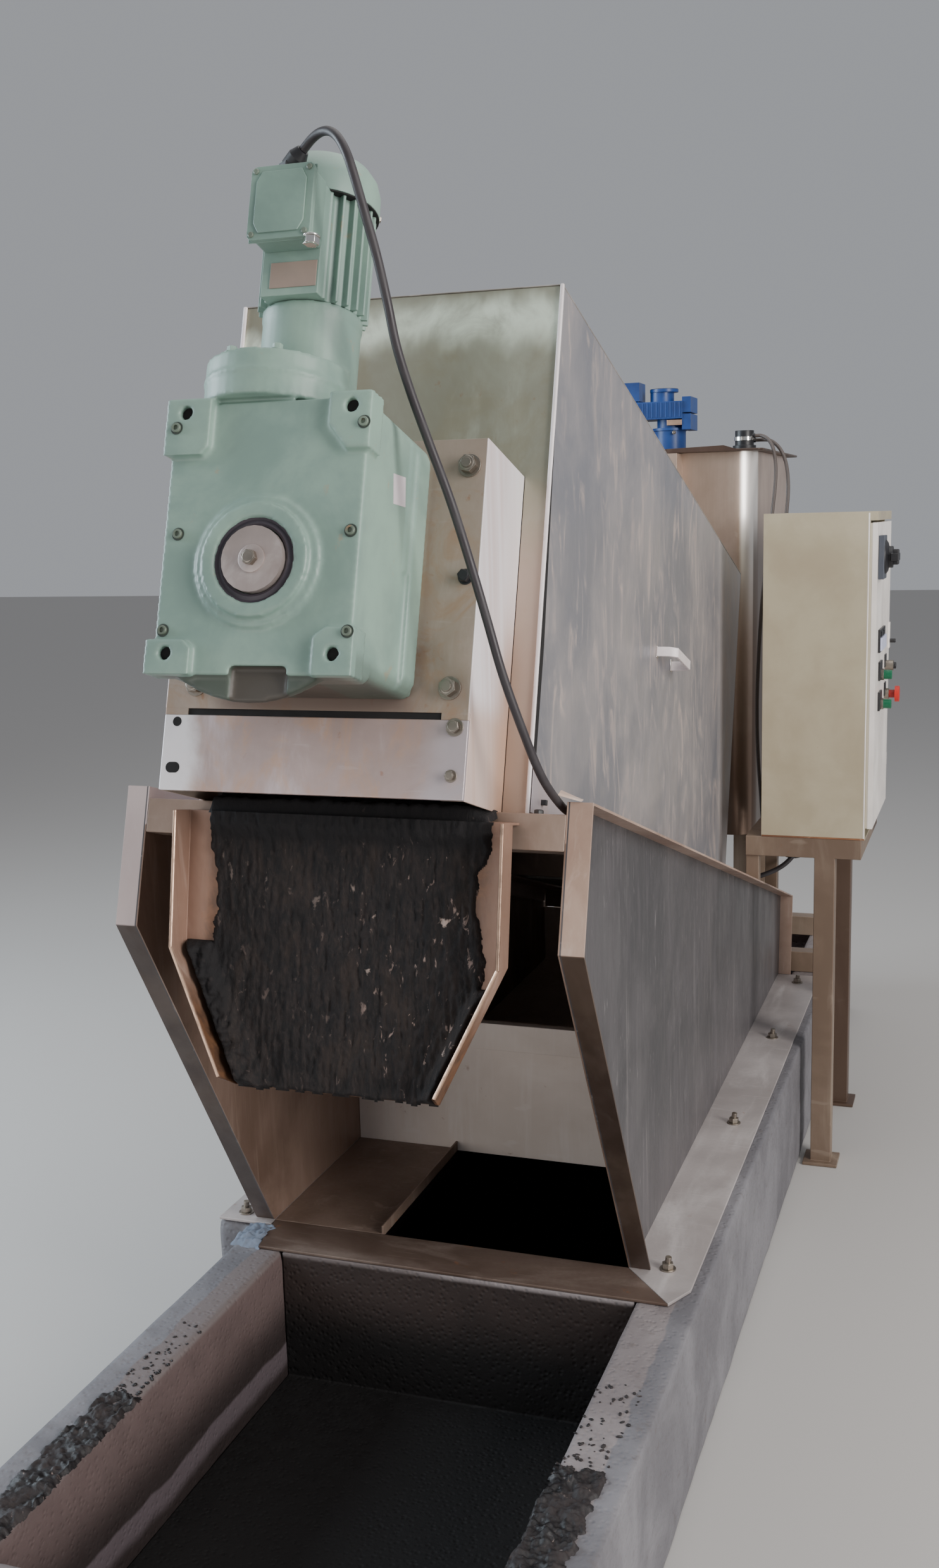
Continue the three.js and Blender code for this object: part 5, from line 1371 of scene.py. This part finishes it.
def chute_height(x, v):
    """Thickness of the cake on the chute at x, at a depth v below its top."""
    wobble = 0.009 * clump(0.3, v, 0, 0.035)
    wall = 0.264 - max(0.0, v - 0.215) * (0.098 / 0.214)
    left = -0.228 + 0.014 * ramp(v, 0.05, 0.08) + wobble if v < 0.206 else -wall + 0.001
    right = 0.238 - 0.020 * ramp(v, 0.03, 0.09) + 0.014 * ramp(v, 0.12, 0.2) + 0.007 * clump(1.3, v, 0, 0.03)
    if v > 0.250:
        right = wall - 0.001
    bottom = 0.428 + 0.004 * clump(x, 0.7, 0, 0.02)
    inside = min(x - left, right - x, bottom - v)
    if inside < -0.004:
        return -1.0
    streaks = clump(x, v * 0.16, 0.5, 0.010)
    lumps = clump(x, v * 0.45, 1.7, 0.006, 4)
    height = 0.0062 + 0.0026 * streaks + 0.0017 * lumps + 0.0022 * clump(x, v, 4.1, 0.05, 2)
    height += 0.014 * (1 - ramp(v, 0.015, 0.05))
    if v > 0.190:
        rough = 0.75 + 0.45 * clump(x, v, 2.2, 0.022, 5)
        height += 0.031 * rough * (1 - ramp(x + wall, 0.012, 0.060)) * ramp(v, 0.200, 0.222)
    if v > 0.215:
        height += 0.022 * (1 - ramp(wall - x, 0.006, 0.035)) * ramp(v, 0.235, 0.28)
    return min(min(height, 0.044), inside * 2.2 + 0.002)


def chute_cake():
    """Cake on the chute's sheet, and the heap on its rim."""
    front = Matrix(((1, 0, 0, 0), (0, 0, -1, -0.0041), (0, -1, 0, 0), (0, 0, 0, 1)))
    crust(
        "chute_cake", (-0.268, 0.268), (0.0, 0.434), 0.0026, chute_height, CHUTE @ front, mat_cake)

    def rim_height(x, y):
        edge = min(x + 0.216 + 0.008 * clump(0.2, y, 0, 0.02), 0.246 - x, y + 0.0545, 0.004 - y)
        mass = (0.0225 + 0.0035 * clump(x, y, 1.9, 0.016, 4)) * (1 - 0.6 * ramp(x, 0.212, 0.242))
        return min(mass, edge * 4)
    level = UPRIGHT @ Matrix.Translation((0, 0, 0.9042))
    crust("rim_cake", (-0.224, 0.250), (-0.056, 0.006), 0.003, rim_height, level, mat_cake)


def kerb_height(x, y, inner, outer, full):
    """Thickness of the crust on the kerb between its inner edge and the strip's outer edge."""
    across = min(abs(x - inner), abs(x - outer))
    beyond = (x - inner) * (x - outer) > 0
    edge = (-across if beyond else across) + 0.010 * clump(x, y, 0.4, 0.028)
    lumps = clump(x, y, 0.2, 0.011, 5)
    height = 0.0060 + 0.0075 * clump(x, y, 2.4, 0.024) + 0.0035 * lumps
    cover = ramp(-y, full[0], full[1])
    height -= 0.030 * (1 - cover)
    height += 0.020 * max(0.0, lumps - 0.25) * ramp(-y, 0.05, 0.2) * (1 - cover)
    return min(height, edge * 1.4 + 0.001, 0.016)


def kerb_crusts():
    """Sludge on both sides of the kerb, by its x range, its edges, and from where to where it thickens."""
    for side, reach, edges, full in (
            ("left", (-0.352, -0.279), (-0.283, -0.346), (0.21, 0.27)),
            ("right", (0.386, 0.470), (0.389, 0.463), (0.20, 0.25))):
        def height(x, y):
            return kerb_height(x, y, *edges, full)
        crust(f"kerb_crust_{side}", reach, (-0.760, -0.150), 0.0022, height, UPRIGHT, mat_sludge)


def crumbs():
    """Loose crumbs of sludge on the kerb, thicker towards the front."""
    rng = random.Random(7)
    bm = bmesh.new()
    strips = ((-0.340, -0.290, 0.02), (0.394, 0.466, 0.0))
    for low, high, start in strips:
        for _ in range(80):
            y = -start - 0.24 * (1 - rng.random() ** 1.9)
            x = rng.uniform(low, high)
            size = rng.uniform(0.0012, 0.0042)
            place = Matrix.Translation((x, y, size * 0.2)) @ Matrix.Rotation(rng.uniform(0, 6.3), 4, "Z")
            shape = Matrix.Diagonal((rng.uniform(0.8, 1.8), rng.uniform(0.6, 1.1), 0.6, 1))
            bmesh.ops.create_icosphere(bm, subdivisions=1, radius=size, matrix=place @ shape)
    piece("sludge_crumbs", bm, mat_sludge, "concrete", UPRIGHT, angle=60)


def mortar():
    """A lump of mortar at the left side plate's foot."""
    def height(x, y):
        edge = min(x + 0.394, -0.336 - x, y - 0.262, 0.352 - y) + 0.012 * clump(x, y, 3.1, 0.02)
        body = 0.010 + 0.006 * clump(x, y, 5.0, 0.014, 5)
        return min(body, edge * 0.9)
    crust("mortar_lump", (-0.398, -0.332), (0.256, 0.3515), 0.0025, height, UPRIGHT, mat_mortar)


chute_cake()
kerb_crusts()
crumbs()
mortar()


# Stage: floor, world and lights

floor_bm = bmesh.new()
bmesh.ops.create_grid(floor_bm, x_segments=1, y_segments=1, size=30.0)
floor_finish = Finish("pale_floor", rough=0.9)
floor_finish.colour(tone(188, 185, 182))
floor = new_object("floor", mesh_of("floor", floor_bm), floor_finish.material)
floor.location.z = -0.0005

world = bpy.data.worlds.new("studio")
scene.world = world
world.use_nodes = True
background = world.node_tree.nodes["Background"]
background.inputs["Color"].default_value = (0.62, 0.64, 0.68, 1.0)
background.inputs["Strength"].default_value = 0.55


def soft_light(name, at, towards, size, power, colour):
    data = bpy.data.lights.new(name, "AREA")
    data.shape = "RECTANGLE"
    data.size, data.size_y = size
    data.energy = power
    data.color = colour
    lamp = bpy.data.objects.new(name, data)
    lamp.location = at
    aim = Vector(towards) - Vector(at)
    lamp.rotation_euler = aim.to_track_quat("-Z", "Y").to_euler()
    scene.collection.objects.link(lamp)


soft_light("key", (4.8, -2.9, 2.8), (0, -0.7, 1.2), (1.8, 4.4), 350, (1.0, 0.97, 0.94))
soft_light("front", (-1.8, -5.4, 1.2), (0, -0.6, 0.9), (2.4, 1.8), 38, (1.0, 0.96, 0.92))
soft_light("window", (-4.2, -1.2, 2.6), (0, -0.6, 1.2), (2.4, 2.4), 210, (0.78, 0.9, 1.0))
soft_light("ceiling", (0.2, 0.4, 5.6), (0, 0, 0), (4.5, 4.5), 110, (1.0, 0.98, 0.95))
